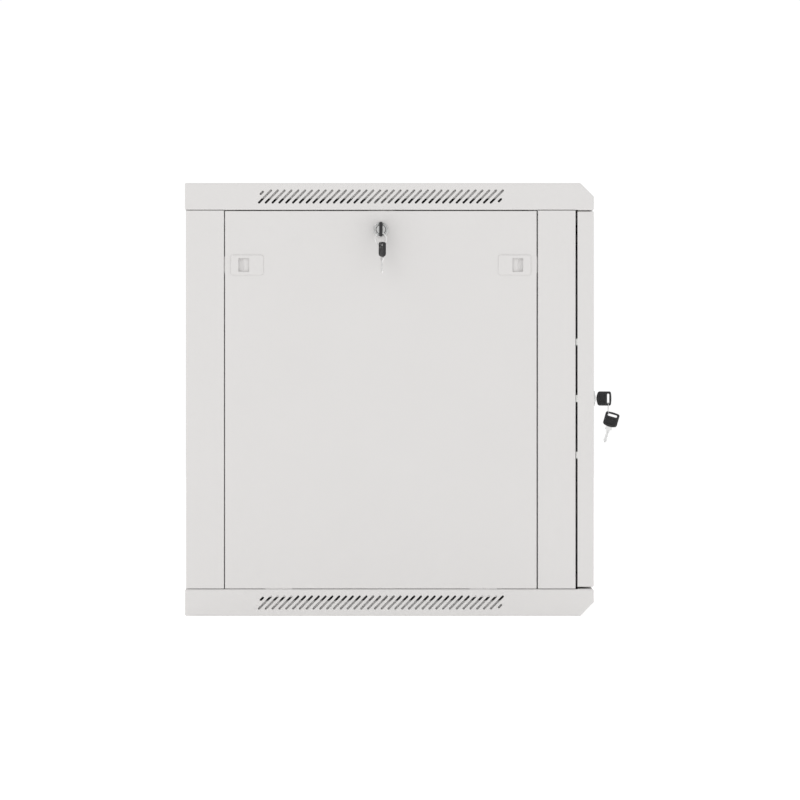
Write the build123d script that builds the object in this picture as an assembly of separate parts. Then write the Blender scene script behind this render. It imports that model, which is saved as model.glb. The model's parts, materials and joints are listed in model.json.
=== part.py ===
from build123d import *
import math
import os

# Wall-mount 12-unit network cabinet, 600 wide x 600 deep x 635 high, in millimetres.
# Frame: X to the right seen from the front, front at -Y, Z up, origin under the centre of the base.

# Overall size and sheet
WIDTH = 600.0
DEPTH = 600.0
HEIGHT = 635.0
HALF_W = WIDTH / 2
HALF_D = DEPTH / 2
SHEET = 1.2
FRAME_SHEET = 1.5
BEND = 2.0

# How far cutters run past the faces that they cut
PAST = 1.0
DEEP = 5.0

# How near to a given corner an edge must stand to be that corner's bend
CORNER_REACH = 0.05

# Fits: a shank in its hole, and a nut's bore on its thread
SHANK_FIT = 0.05
THREAD_FIT = 0.02

# Roof and floor pans
PAN_HEIGHT = 40.0
NOSE_CHAMFER = 20.0
NOSE_ANGLE = 45.0
NOSE_RETURN = 22.3
NOSE_EDGE = 3.0

# Vent slots in the pan walls
SLOT_WIDTH = 3.2
SLOT_ANGLE = 45.0
SLOT_PITCH = 10.0
SLOT_BAND = 20.8
SLOT_ROW_Y = 12.5
SLOT_COUNT = 35
SHORT_SLOT = 7.8
SHORT_SLOT_RISE = 5.4
SLOT_BAND_TO_EDGE = 20.2

# Fan positions in the roof
FAN_X = 105.0
FAN_Y = -20.0
FAN_GRILLE_RADIUS = 54.0
FAN_HOLE_PITCH = 105.0
FAN_HOLE_RADIUS = 2.25
FAN_SLOT_PITCH = 9.0
FAN_SLOT_WIDTH = 4.5
FAN_SLOT_ANGLE = 45.0

# Cable entries and their covers
ENTRY_WIDTH = 300.0
ENTRY_DEPTH = 70.0
ENTRY_Y = 215.0
REAR_ENTRY_Z = 90.0
COVER_MARGIN = 14.0

# Uprights and the side-panel opening between them
UPRIGHT_FRONT_Y = -273.0
OPENING_FRONT_Y = -217.7
OPENING_REAR_Y = 242.6
UPRIGHT_REAR_Y = 298.5
UPRIGHT_BOTTOM = 40.3
UPRIGHT_TOP = HEIGHT - 40.3
FRONT_FLANGE = 25.0
REAR_FLANGE = 50.0
LIP_OUTER_X = -287.0
LIP_INNER_X = LIP_OUTER_X + FRAME_SHEET
LIP_WIDTH = 15.5
TONGUE_MARGIN = 3.0

# Side rails inside the pans
RAIL_OUTER_X = -294.5
RAIL_LEG = 22.5
RAIL_FRONT_Y = -226.0
RAIL_REAR_Y = 250.0
RAIL_SCREW_Z = (12.0, 30.0)
LIP_TAB_HALF = 12.0
LIP_TAB_HEIGHT = 36.0
STRIKE_HALF = 20.0
STRIKE_HEIGHT = 42.0

# Depth rails that carry the rack rails
DEPTH_RAIL_HEIGHT = 30.0
DEPTH_RAIL_INNER_X = -257.4
DEPTH_RAIL_CENTRES_Z = (75.0, 525.0)
DEPTH_RAIL_SCREW_RISE = 7.0
DEPTH_RAIL_END_GAP = 2.0

# Rack rails to the 19-inch standard
RACK_UNITS = 12
UNIT = 44.45
UNIT_HOLES = (6.35, 22.225, 38.1)
RACK_HOLE_X = 232.55
RACK_HOLE = 9.5
RACK_CLEAR_X = 225.2
RACK_SHEET = 2.0
RACK_FLANGE_X = 257.0
RACK_FRONT_Y = -215.0
RACK_FLANGE_DEPTH = 37.0
RACK_LENGTH = 545.0
RACK_BOLT_Y = -190.0
RACK_TRAVEL = 60.0
REAR_RACK_SHIFT = -33.0
RACK_MIDDLE_Z = HEIGHT / 2
CAGE_NUT_UNIT = 5
CAGE_NUT_FIT = 0.1
CAGE_NUT_RECESS = 0.4
CAGE_HALF_X = 6.3
CAGE_HALF_Z = 5.2
CAGE_DEPTH = 4.5

# Screws
SCREW_RADIUS = 2.5
SCREW_HEAD_RADIUS = 4.8
SCREW_HEAD = 3.0
SCREW_TIP = 0.4
COVER_SCREW_SHORT = 0.2
BOLT_RADIUS = 3.0
BOLT_HEAD_RADIUS = 5.5
BOLT_HEAD = 3.5
BOLT_TIP = 6.0
NUT_RADIUS = 5.8
NUT_HEIGHT = 5.0
NUT_GAP = 0.4
BOLT_SLOT_CLEARANCE = 0.3
HOLE_CLEARANCE = 0.2

# Rear panel
REAR_PANEL_HALF = 262.0
REAR_PANEL_Y = 297.0
REAR_PANEL_Z = (8.0, 627.0)
REAR_SCREW_X = 256.0
REAR_SCREW_COUNT = 5
REAR_SCREW_MARGIN = 35.0
WALL_HOLE_X = 275.0
WALL_HOLE_Z = 225.0
WALL_HOLE_RADIUS = 5.0

# Earthing stud
STUD_X = 230.0
STUD_Y = 262.0
STUD_HEIGHT = 22.0
STUD_NUT_LIFT = 5.5

# Front door
DOOR_HALF = 299.0
DOOR_FRONT_Y = -300.0
DOOR_REAR_Y = -276.0
DOOR_BOTTOM = 42.6
DOOR_TOP = 593.6
DOOR_LIP = 14.0
WINDOW_HALF = 222.0
WINDOW_Z = (95.0, 541.5)
GLASS_OVERLAP = 12.0
GLASS_THICK = 4.0
GASKET_THICK = 1.0
GASKET_WIDTH = 10.0
GASKET_INSET = 1.0
STILE_SLOT_X = 258.0
STILE_SLOT_HALF = 12.0
STILE_SLOT_PITCH = 14.0
STILE_SLOT_WIDTH = 4.0
STILE_SLOT_ANGLE = 45.0
STILE_SLOT_ENDS = ((72.0, 276.0), (360.0, 566.0))
HINGE_X = 291.5
HINGE_Y = -290.0
PIN_RADIUS = 3.0
PIN_FIT = 0.08
PIN_ABOVE_NOSE = 5.0
PIN_BELOW_BRACKET = 16.0
PIN_COLLAR_RADIUS = 5.0
PIN_COLLAR_Z = (578.0, 580.5)
PIN_TAIL_LENGTH = 14.0
PIN_TAIL_RISE = 3.0
PIN_TAIL_RADIUS = 2.4
LOWER_PIN_ABOVE_DOOR = 12.0
LOWER_PIN_HEAD = 2.0
WASHER_RADIUS = 6.0
WASHER_GAP = 0.2
HINGE_BRACKET_Z = 560.0
HINGE_BRACKET_SHEET = 2.0
HINGE_BRACKET_REACH = 8.0
HINGE_BRACKET_DROP = 14.0
BUFFER_PITCH = 83.0
BUFFER_HEIGHT = 10.0
BUFFER_PROUD = 2.2
BUFFER_INSET = 1.0
BUFFER_WIDTH = 8.0
BUFFER_ROUND = 1.0

# Locks: each is built about its own axis, with the sheet's face at y = 0 and outside at -y
DOOR_LOCK = (-262.0, -300.0, 319.0)
SIDE_LOCK_Y = 12.5
SIDE_LOCK_Z = 566.8
LOCK_FACE_RADIUS = 11.5
LOCK_FACE = 2.6
LOCK_FACE_ROUND = 1.2
PLUG_RECESS = 0.3
BARREL_RADIUS = 9.0
BORE_RADIUS = 6.55
PLUG_RADIUS = 6.5
CAM_GAP = 0.4
CAM_THICK = 2.5
CAM_HALF_WIDTH = 7.0
CAM_LENGTH = 34.0
DOOR_BARREL = 29.5
SIDE_BARREL = 15.8
LOCK_NUT = 4.0
LOCK_NUT_RADIUS = 12.5

# Keys: u runs out from the lock and v across the bow
KEY_APEX = 5.0
BOW_LENGTH = 22.0
BOW_HALF = 10.5
BOW_THICK = 4.6
BOW_SHOULDER = 3.2
BOW_CROWN = 1.0
BOW_CORNER = 2.0
BOW_ROUND = 1.2
BOW_SOCKET = 2.5
KEY_SLOT_U = 17.25
KEY_SLOT_WIDTH = 3.3
KEY_SLOT_HALF = 7.2
BLADE_LENGTH = 24.0
BLADE_HALF = 2.6
COLLAR_HALF = 4.6
COLLAR_LENGTH = 4.5
BLADE_THICK = 2.0
BLADE_ROOT = 0.9
BLADE_TIP = 3.0
BLADE_POINT = 0.6
BLADE_GROOVE = 0.5
BLADE_END_GAP = 0.5
KEYWAY_GAP = 0.1
BARREL_WALL = 1.0
RING_WIRE = 0.65
RING_RADIUS = 8.85
RING_SEAT = 0.6
SPARE_SEAT = 0.8
RING_TURN = 20.0
DOOR_SPARE_TILT = 16.0
SIDE_SPARE_TILT = 2.0

# Side panels
PANEL_FRONT_Y = -215.9
PANEL_REAR_Y = 241.25
PANEL_BOTTOM = 40.2
PANEL_TOP = 594.1
PANEL_DEPTH = 12.0
PANEL_SHEET = 1.0
TAB_HALF = 20.0
TAB_SPACING = 150.0
TAB_DROP = 12.4
TAB_RISE = 20.0
TAB_SHEET = 1.8
HOOK_SHEET = 1.2
TAB_OVERLAP = 0.5

# Slide latches, given for the rear one and mirrored about the panel's middle
LATCH_MIDDLE_Y = 12.5
LATCH_Z = 514.8
BEZEL_Y = (185.0, 232.8)
BEZEL_HALF_Z = 14.6
BEZEL_THICK = 1.3
BEZEL_CORNER = 3.0
BEZEL_ROUND = 0.8
LATCH_WINDOW_Y = (205.8, 221.5)
LATCH_WINDOW_HALF_Z = 10.1
LATCH_WINDOW_CORNER = 1.5
SLIDER_Y = (192.0, 242.25)
SLIDER_HALF_Z = 12.3
SLIDER_X = (-298.7, -296.0)
SLIDER_TIP_ROUND = 0.8
SCOOP_RADIUS = 9.0
SCOOP_DEPTH = 1.6
SCOOP_HALF_Z = 8.5
SCOOP_INSET = 3.0
PORT_DEPTH = 3.0
LATCH_GAP = 0.3


def block(x, y, z):
    """A box between two x, two y and two z values."""
    size = (abs(x[1] - x[0]), abs(y[1] - y[0]), abs(z[1] - z[0]))
    return Pos((x[0] + x[1]) / 2, (y[0] + y[1]) / 2, (z[0] + z[1]) / 2) * Box(*size)


def rod_x(x, y, z, radius):
    """A round bar along X between two x values."""
    return Pos((x[0] + x[1]) / 2, y, z) * Rot(0, 90, 0) * Cylinder(radius, abs(x[1] - x[0]))


def rod_y(x, y, z, radius):
    """A round bar along Y between two y values."""
    return Pos(x, (y[0] + y[1]) / 2, z) * Rot(90, 0, 0) * Cylinder(radius, abs(y[1] - y[0]))


def rod_z(x, y, z, radius):
    """A round bar along Z between two z values."""
    return Pos(x, y, (z[0] + z[1]) / 2) * Cylinder(radius, abs(z[1] - z[0]))


def mirror_x(solid):
    """The same piece on the other side of the cabinet."""
    return mirror(solid, about=Plane.YZ)


def upright_edges(solid, corners):
    """The vertical edges that stand at the given corners."""
    found = []
    for edge in solid.edges().filter_by(Axis.Z):
        centre = edge.center()
        if any(math.hypot(centre.X - x, centre.Y - y) < CORNER_REACH for x, y in corners):
            found.append(edge)
    return found


def write(name, solids):
    """Write one node's STEP file from a list of separate solids."""
    pieces = []
    for solid in solids:
        pieces += list(solid.solids())
    shape = pieces[0] if len(pieces) == 1 else Compound(children=pieces)
    export_step(shape, os.path.join("parts", name + ".step"))


# Roof and floor pans

def pan_blank():
    """The floor pan without its openings: plate, four walls, chamfered nose and its inward return."""
    nose = HALF_D - NOSE_CHAMFER
    outline = [
        (HALF_D, 0),
        (-nose, 0),
        (-HALF_D, NOSE_CHAMFER),
        (-HALF_D, PAN_HEIGHT),
        (HALF_D, PAN_HEIGHT),
    ]
    outer = extrude(Plane.YZ.offset(-HALF_W) * make_face(Polyline(*outline, close=True)), WIDTH)
    bends = [e for e in outer.edges() if e.center().Z < PAN_HEIGHT - SHEET]
    outer = fillet(bends, BEND)
    front_top = [e for e in outer.edges().filter_by(Axis.X) if e.center().Z > PAN_HEIGHT - SHEET]
    outer = fillet(sorted(front_top, key=lambda e: e.center().Y)[0], NOSE_EDGE)
    inside_w = HALF_W - SHEET
    inside_d = HALF_D - SHEET
    step = SHEET * math.tan(math.radians(NOSE_ANGLE / 2))
    roof = PAN_HEIGHT - SHEET
    hollow = [
        (inside_d, SHEET),
        (-nose + step, SHEET),
        (-inside_d, NOSE_CHAMFER + step),
        (-inside_d, roof),
        (-inside_d + NOSE_RETURN, roof),
        (-inside_d + NOSE_RETURN, PAN_HEIGHT + SHEET),
        (inside_d, PAN_HEIGHT + SHEET),
    ]
    section = make_face(Polyline(*hollow, close=True))
    corner = [v for v in section.vertices() if abs(v.X + inside_d) < SHEET and abs(v.Y - roof) < SHEET]
    section = fillet(corner, NOSE_EDGE - SHEET)
    inner = extrude(Plane.YZ.offset(-inside_w) * section, 2 * inside_w)
    return outer - inner


def vent_slots(middle_z):
    """Slanted round-ended slots across both side walls, with a short one at each end of the row."""
    slope = math.cos(math.radians(SLOT_ANGLE))
    length = (SLOT_BAND - SLOT_WIDTH) / slope + SLOT_WIDTH
    half_row = (SLOT_COUNT - 1) / 2 * SLOT_PITCH
    end = half_row + SLOT_PITCH - SHORT_SLOT_RISE
    places = [(SLOT_ROW_Y - half_row + i * SLOT_PITCH, middle_z, length) for i in range(SLOT_COUNT)]
    places.append((SLOT_ROW_Y + end, middle_z + SHORT_SLOT_RISE, SHORT_SLOT))
    places.append((SLOT_ROW_Y - end, middle_z - SHORT_SLOT_RISE, SHORT_SLOT))
    bars = []
    for y, z, overall in places:
        slot = Plane.YZ.offset(-HALF_W - PAST) * Pos(y, z) * Rot(0, 0, 90 + SLOT_ANGLE)
        bars.append(extrude(slot * SlotOverall(overall, SLOT_WIDTH), WIDTH + 2 * PAST))
    return bars


def fan_cutter(x):
    """Slanted grille slots in a circle, with the four screw holes of a 120 mm fan."""
    z = (HEIGHT - DEEP, HEIGHT + PAST)
    disc = rod_z(x, FAN_Y, z, FAN_GRILLE_RADIUS)
    cuts = []
    count = int(FAN_GRILLE_RADIUS / FAN_SLOT_PITCH)
    for i in range(-count, count + 1):
        bar = Box(2 * FAN_GRILLE_RADIUS, FAN_SLOT_WIDTH, 2 * DEEP)
        shift = Rot(0, 0, FAN_SLOT_ANGLE) * Pos(0, i * FAN_SLOT_PITCH, 0)
        cuts.append(Pos(x, FAN_Y, HEIGHT) * shift * bar & disc)
    for side in (-1, 1):
        for end in (-1, 1):
            hole_x = x + side * FAN_HOLE_PITCH / 2
            hole_y = FAN_Y + end * FAN_HOLE_PITCH / 2
            cuts.append(rod_z(hole_x, hole_y, z, FAN_HOLE_RADIUS))
    return cuts


def cover_screw_places(half_x, half_y):
    """Four corner places of a cover's screws about its middle."""
    inset = COVER_MARGIN / 2
    return [(sx * (half_x + inset), sy * (half_y - inset)) for sx in (-1, 1) for sy in (-1, 1)]


def entry_cutter(z):
    """Cable entry through a pan's plate with its cover's screw holes."""
    half_x = ENTRY_WIDTH / 2
    half_y = ENTRY_DEPTH / 2
    cuts = [block((-half_x, half_x), (ENTRY_Y - half_y, ENTRY_Y + half_y), z)]
    for dx, dy in cover_screw_places(half_x, half_y):
        cuts.append(rod_z(dx, ENTRY_Y + dy, z, SCREW_RADIUS))
    return cuts


def bottom_panel():
    """Floor pan with its vent slots and cable entry; the hinge pin's hole is in the nose return."""
    pan = pan_blank()
    cuts = vent_slots(PAN_HEIGHT - SLOT_BAND_TO_EDGE) + entry_cutter((-PAST, SHEET + PAST))
    cuts.append(rod_z(HINGE_X, HINGE_Y, (PAN_HEIGHT - DEEP, PAN_HEIGHT + PAST), PIN_RADIUS))
    return pan - cuts


def top_panel():
    """Roof pan: the floor pan turned over, with fan grilles as well."""
    pan = mirror(pan_blank(), about=Plane.XY.offset(HEIGHT / 2))
    cuts = vent_slots(HEIGHT - PAN_HEIGHT + SLOT_BAND_TO_EDGE)
    cuts += entry_cutter((HEIGHT - SHEET - PAST, HEIGHT + PAST))
    cuts += fan_cutter(-FAN_X) + fan_cutter(FAN_X)
    low = HEIGHT - PAN_HEIGHT
    cuts.append(rod_z(HINGE_X, HINGE_Y, (low - PAST, low + DEEP), PIN_RADIUS + PIN_FIT))
    return pan - cuts


def cable_cover(z):
    """Flat cover plate over a pan's cable entry, on the inside of the plate."""
    half_x = ENTRY_WIDTH / 2 + COVER_MARGIN
    half_y = ENTRY_DEPTH / 2
    plate = block((-half_x, half_x), (ENTRY_Y - half_y, ENTRY_Y + half_y), z)
    holes = []
    for dx, dy in cover_screw_places(ENTRY_WIDTH / 2, half_y):
        holes.append(rod_z(dx, ENTRY_Y + dy, (z[0] - PAST, z[1] + PAST), SCREW_RADIUS))
    return plate - holes


def rear_cable_cover():
    """Cover plate over the rear panel's cable entry, on the inside."""
    half_x = ENTRY_WIDTH / 2 + COVER_MARGIN
    half_z = ENTRY_DEPTH / 2
    y = (REAR_PANEL_Y - 2 * SHEET, REAR_PANEL_Y - SHEET)
    plate = block((-half_x, half_x), y, (REAR_ENTRY_Z - half_z, REAR_ENTRY_Z + half_z))
    holes = []
    for dx, dz in cover_screw_places(ENTRY_WIDTH / 2, half_z):
        holes.append(rod_y(dx, (y[0] - PAST, y[1] + PAST), REAR_ENTRY_Z + dz, SCREW_RADIUS))
    return plate - holes


# Uprights

def lip_screw_places():
    """Heights of the screws that join an upright's lip to the side rails and depth rails."""
    heights = []
    for z in RAIL_SCREW_Z:
        heights += [z, HEIGHT - z]
    for centre in DEPTH_RAIL_CENTRES_Z:
        heights += [centre - DEPTH_RAIL_SCREW_RISE, centre + DEPTH_RAIL_SCREW_RISE]
    return heights


def lip_holes(y):
    """Screw holes through a lip at one depth."""
    x = (LIP_OUTER_X - PAST, LIP_INNER_X + FRAME_SHEET + PAST)
    return [rod_x(x, y, z, SCREW_RADIUS) for z in lip_screw_places()]


FRONT_LIP_Y = (OPENING_FRONT_Y - FRAME_SHEET, OPENING_FRONT_Y - FRAME_SHEET + LIP_WIDTH)
REAR_LIP_Y = (OPENING_REAR_Y + FRAME_SHEET - LIP_WIDTH, OPENING_REAR_Y + FRAME_SHEET)
FRONT_SCREW_Y = sum(FRONT_LIP_Y) / 2
REAR_SCREW_Y = sum(REAR_LIP_Y) / 2


def front_upright():
    """Left front upright: outer face, door-side flange, and a set-back lip that the panel lies against."""
    z = (UPRIGHT_BOTTOM, UPRIGHT_TOP)
    outer = (-HALF_W, -HALF_W + FRAME_SHEET)
    body = block(outer, (UPRIGHT_FRONT_Y, OPENING_FRONT_Y), z)
    body += block((-HALF_W, -HALF_W + FRONT_FLANGE), (UPRIGHT_FRONT_Y, UPRIGHT_FRONT_Y + FRAME_SHEET), z)
    body += block((-HALF_W, LIP_INNER_X), (OPENING_FRONT_Y - FRAME_SHEET, OPENING_FRONT_Y), z)
    tongue = (TONGUE_MARGIN, HEIGHT - TONGUE_MARGIN)
    body += block((LIP_OUTER_X, LIP_INNER_X), FRONT_LIP_Y, tongue)
    bends = upright_edges(body, [(-HALF_W, UPRIGHT_FRONT_Y), (-HALF_W, OPENING_FRONT_Y)])
    body = fillet(bends, BEND / 2)
    return body - lip_holes(FRONT_SCREW_Y)


def rear_upright():
    """Left rear upright, with the wall-fixing holes in its rear flange."""
    z = (UPRIGHT_BOTTOM, UPRIGHT_TOP)
    outer = (-HALF_W, -HALF_W + FRAME_SHEET)
    body = block(outer, (OPENING_REAR_Y, UPRIGHT_REAR_Y), z)
    body += block((-HALF_W, -HALF_W + REAR_FLANGE), (UPRIGHT_REAR_Y - FRAME_SHEET, UPRIGHT_REAR_Y), z)
    body += block((-HALF_W, LIP_INNER_X), (OPENING_REAR_Y, OPENING_REAR_Y + FRAME_SHEET), z)
    tongue = (TONGUE_MARGIN, HEIGHT - TONGUE_MARGIN)
    body += block((LIP_OUTER_X, LIP_INNER_X), REAR_LIP_Y, tongue)
    bends = upright_edges(body, [(-HALF_W, UPRIGHT_REAR_Y), (-HALF_W, OPENING_REAR_Y)])
    body = fillet(bends, BEND / 2)
    through = (UPRIGHT_REAR_Y - FRAME_SHEET - PAST, UPRIGHT_REAR_Y + PAST)
    holes = []
    for z_hole in (HEIGHT / 2 - WALL_HOLE_Z, HEIGHT / 2 + WALL_HOLE_Z):
        holes.append(rod_y(-WALL_HOLE_X, through, z_hole, WALL_HOLE_RADIUS))
    for z_hole in rear_screw_heights():
        holes.append(rod_y(-REAR_SCREW_X, through, z_hole, SCREW_RADIUS))
    return body - holes - lip_holes(REAR_SCREW_Y)


def side_rails():
    """Left floor and roof side rails: channels behind the slotted walls, screwed to the uprights' lips."""
    y = (RAIL_FRONT_Y, RAIL_REAR_Y)
    inner = (LIP_INNER_X, LIP_INNER_X + FRAME_SHEET)
    low = SHEET
    rail = block((RAIL_OUTER_X, inner[1]), y, (low, low + FRAME_SHEET))
    rail += block((RAIL_OUTER_X, RAIL_OUTER_X + FRAME_SHEET), y, (low, RAIL_LEG))
    rail += block(inner, y, (low, RAIL_LEG))
    # Tabs that reach up to the second screws, and the lock's strike between them
    for middle in (FRONT_SCREW_Y, REAR_SCREW_Y):
        ends = (max(middle - LIP_TAB_HALF, y[0]), min(middle + LIP_TAB_HALF, y[1]))
        rail += block(inner, ends, (low, LIP_TAB_HEIGHT))
    rail += block(inner, (SIDE_LOCK_Y - STRIKE_HALF, SIDE_LOCK_Y + STRIKE_HALF), (low, STRIKE_HEIGHT))
    bottom = rail - lip_holes(FRONT_SCREW_Y) - lip_holes(REAR_SCREW_Y)
    # The lips' tongues stand clear of the channel's floor
    tongues = [block((LIP_OUTER_X, LIP_INNER_X), lip, (0, HEIGHT)) for lip in (FRONT_LIP_Y, REAR_LIP_Y)]
    bottom -= [tongue & block((-HALF_W, 0), y, (TONGUE_MARGIN, PAN_HEIGHT)) for tongue in tongues]
    return [bottom, mirror(bottom, about=Plane.XY.offset(HEIGHT / 2))]


def depth_rail(centre_z):
    """Left depth rail: a channel from upright to upright with long slots for the rack rails' bolts."""
    half = DEPTH_RAIL_HEIGHT / 2
    z = (centre_z - half, centre_z + half)
    y = (FRONT_LIP_Y[0] + DEPTH_RAIL_END_GAP, REAR_LIP_Y[1] - DEPTH_RAIL_END_GAP)
    inner = (DEPTH_RAIL_INNER_X - FRAME_SHEET, DEPTH_RAIL_INNER_X)
    rail = block((LIP_INNER_X, LIP_INNER_X + FRAME_SHEET), y, z)
    rail += block(inner, y, z)
    rail += block((LIP_INNER_X, DEPTH_RAIL_INNER_X), y, (z[0], z[0] + FRAME_SHEET))
    cuts = lip_holes(FRONT_SCREW_Y) + lip_holes(REAR_SCREW_Y)
    slot_half = BOLT_RADIUS + BOLT_SLOT_CLEARANCE
    slot_x = (inner[0] - PAST, inner[1] + PAST)
    rear_bolt = -RACK_BOLT_Y + REAR_RACK_SHIFT
    ends = ((RACK_BOLT_Y, RACK_BOLT_Y + RACK_TRAVEL), (rear_bolt - RACK_TRAVEL, rear_bolt))
    for start, end in ends:
        slot = block(slot_x, (start, end), (centre_z - slot_half, centre_z + slot_half))
        slot += rod_x(slot_x, start, centre_z, slot_half)
        slot += rod_x(slot_x, end, centre_z, slot_half)
        cuts.append(slot)
    return rail - cuts


def frame_screws():
    """Screws through the rails into the lips, on both sides, and those of the rear panel and covers."""
    screws = []
    head_x = LIP_INNER_X + FRAME_SHEET
    for y in (FRONT_SCREW_Y, REAR_SCREW_Y):
        for z in lip_screw_places():
            screw = rod_x((LIP_OUTER_X - SCREW_TIP, head_x), y, z, SCREW_RADIUS - SHANK_FIT)
            screw += rod_x((head_x, head_x + SCREW_HEAD), y, z, SCREW_HEAD_RADIUS)
            screws += [screw, mirror_x(screw)]
    inner_y = REAR_PANEL_Y - SHEET
    for z in rear_screw_heights():
        screw = rod_y(-REAR_SCREW_X, (inner_y, UPRIGHT_REAR_Y), z, SCREW_RADIUS - SHANK_FIT)
        screw += rod_y(-REAR_SCREW_X, (inner_y - SCREW_HEAD, inner_y), z, SCREW_HEAD_RADIUS)
        screws += [screw, mirror_x(screw)]
    return screws


def cover_screws():
    """Screws of the three cable-entry covers, heads inside the cabinet."""
    shank = SCREW_RADIUS - SHANK_FIT
    tip = COVER_SCREW_SHORT
    screws = []
    for dx, dy in cover_screw_places(ENTRY_WIDTH / 2, ENTRY_DEPTH / 2):
        y = ENTRY_Y + dy
        face = 2 * SHEET
        low = rod_z(dx, y, (tip, face), shank)
        low += rod_z(dx, y, (face, face + SCREW_HEAD), SCREW_HEAD_RADIUS)
        screws += [low, mirror(low, about=Plane.XY.offset(HEIGHT / 2))]
        inner = REAR_PANEL_Y - 2 * SHEET
        z = REAR_ENTRY_Z + dy
        rear = rod_y(dx, (inner, REAR_PANEL_Y - tip), z, shank)
        rear += rod_y(dx, (inner - SCREW_HEAD, inner), z, SCREW_HEAD_RADIUS)
        screws.append(rear)
    return screws


# Rear panel

def rear_screw_heights():
    """Heights of the rear panel's screws, evenly spaced."""
    low = UPRIGHT_BOTTOM + REAR_SCREW_MARGIN
    gap = (UPRIGHT_TOP - REAR_SCREW_MARGIN - low) / (REAR_SCREW_COUNT - 1)
    return [low + i * gap for i in range(REAR_SCREW_COUNT)]


def rear_panel():
    """Flat rear sheet behind the uprights' flanges, with a cable entry near the floor."""
    y = (REAR_PANEL_Y - SHEET, REAR_PANEL_Y)
    plate = block((-REAR_PANEL_HALF, REAR_PANEL_HALF), y, REAR_PANEL_Z)
    through = (y[0] - PAST, y[1] + PAST)
    half_x = ENTRY_WIDTH / 2
    half_z = ENTRY_DEPTH / 2
    cuts = [block((-half_x, half_x), through, (REAR_ENTRY_Z - half_z, REAR_ENTRY_Z + half_z))]
    for dx, dz in cover_screw_places(half_x, half_z):
        cuts.append(rod_y(dx, through, REAR_ENTRY_Z + dz, SCREW_RADIUS))
    for z in rear_screw_heights():
        for side in (-1, 1):
            cuts.append(rod_y(side * REAR_SCREW_X, through, z, SCREW_RADIUS))
    return plate - cuts


def hexagon_nut(radius, height, bore):
    """Hexagon nut standing on the origin along Z."""
    return extrude(RegularPolygon(radius, 6) - Circle(bore + THREAD_FIT), height)


def ground_stud():
    """Earthing stud with its hexagon nut on the floor plate."""
    stud = rod_z(STUD_X, STUD_Y, (SHEET, SHEET + STUD_HEIGHT), BOLT_RADIUS)
    nut = Pos(STUD_X, STUD_Y, SHEET + STUD_NUT_LIFT) * hexagon_nut(NUT_RADIUS, NUT_HEIGHT, BOLT_RADIUS)
    return [stud, nut]


# Rack rails

def rack_rail():
    """Left front rack rail: square-holed face and a side flange bolted to the depth rails."""
    z = (RACK_MIDDLE_Z - RACK_LENGTH / 2, RACK_MIDDLE_Z + RACK_LENGTH / 2)
    face_y = (RACK_FRONT_Y, RACK_FRONT_Y + RACK_SHEET)
    rail = block((-RACK_FLANGE_X, -RACK_CLEAR_X), face_y, z)
    flange_y = (RACK_FRONT_Y, RACK_FRONT_Y + RACK_FLANGE_DEPTH)
    rail += block((-RACK_FLANGE_X, -RACK_FLANGE_X + RACK_SHEET), flange_y, z)
    rail = fillet(upright_edges(rail, [(-RACK_FLANGE_X, RACK_FRONT_Y)]), BEND)
    start = RACK_MIDDLE_Z - RACK_UNITS * UNIT / 2
    half = RACK_HOLE / 2
    hole_x = (-RACK_HOLE_X - half, -RACK_HOLE_X + half)
    hole_y = (face_y[0] - PAST, face_y[1] + PAST)
    cuts = []
    for unit in range(RACK_UNITS):
        for offset in UNIT_HOLES:
            hole_z = start + unit * UNIT + offset
            cuts.append(block(hole_x, hole_y, (hole_z - half, hole_z + half)))
    side = (-RACK_FLANGE_X - PAST, -RACK_FLANGE_X + RACK_SHEET + PAST)
    for hole_z in DEPTH_RAIL_CENTRES_Z:
        cuts.append(rod_x(side, RACK_BOLT_Y, hole_z, BOLT_RADIUS + HOLE_CLEARANCE))
    return rail - cuts


def rack_bolts():
    """The two bolts of the left front rack rail, each with its hexagon nut inside the depth rail."""
    head_x = -RACK_FLANGE_X + RACK_SHEET
    nut_x = DEPTH_RAIL_INNER_X - FRAME_SHEET - NUT_GAP
    nut = Rot(0, 90, 0) * hexagon_nut(NUT_RADIUS, NUT_HEIGHT, BOLT_RADIUS)
    pieces = []
    for z in DEPTH_RAIL_CENTRES_Z:
        bolt = rod_x((nut_x - BOLT_TIP, head_x), RACK_BOLT_Y, z, BOLT_RADIUS)
        bolt += rod_x((head_x, head_x + BOLT_HEAD), RACK_BOLT_Y, z, BOLT_HEAD_RADIUS)
        pieces += [bolt, Pos(nut_x - NUT_HEIGHT, RACK_BOLT_Y, z) * nut]
    return pieces


def cage_nuts():
    """Two caged nuts in the left front rail, in the outer holes of one unit."""
    base = RACK_MIDDLE_Z - RACK_UNITS * UNIT / 2 + CAGE_NUT_UNIT * UNIT
    behind = RACK_FRONT_Y + RACK_SHEET
    back = behind + CAGE_DEPTH
    half = RACK_HOLE / 2 - CAGE_NUT_FIT
    neck_x = (-RACK_HOLE_X - half, -RACK_HOLE_X + half)
    cage_x = (-RACK_HOLE_X - CAGE_HALF_X, -RACK_HOLE_X + CAGE_HALF_X)
    nuts = []
    for offset in (UNIT_HOLES[0], UNIT_HOLES[-1]):
        z = base + offset
        nut = block(neck_x, (RACK_FRONT_Y + CAGE_NUT_RECESS, behind), (z - half, z + half))
        nut += block(cage_x, (behind, back), (z - CAGE_HALF_Z, z + CAGE_HALF_Z))
        nuts.append(nut - rod_y(-RACK_HOLE_X, (RACK_FRONT_Y, back + PAST), z, SCREW_RADIUS))
    return nuts


def to_rear(pieces):
    """Turn front rack pieces round to their rear place."""
    return [Pos(0, REAR_RACK_SHIFT, 0) * mirror(piece, about=Plane.XZ) for piece in pieces]


# Door

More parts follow.
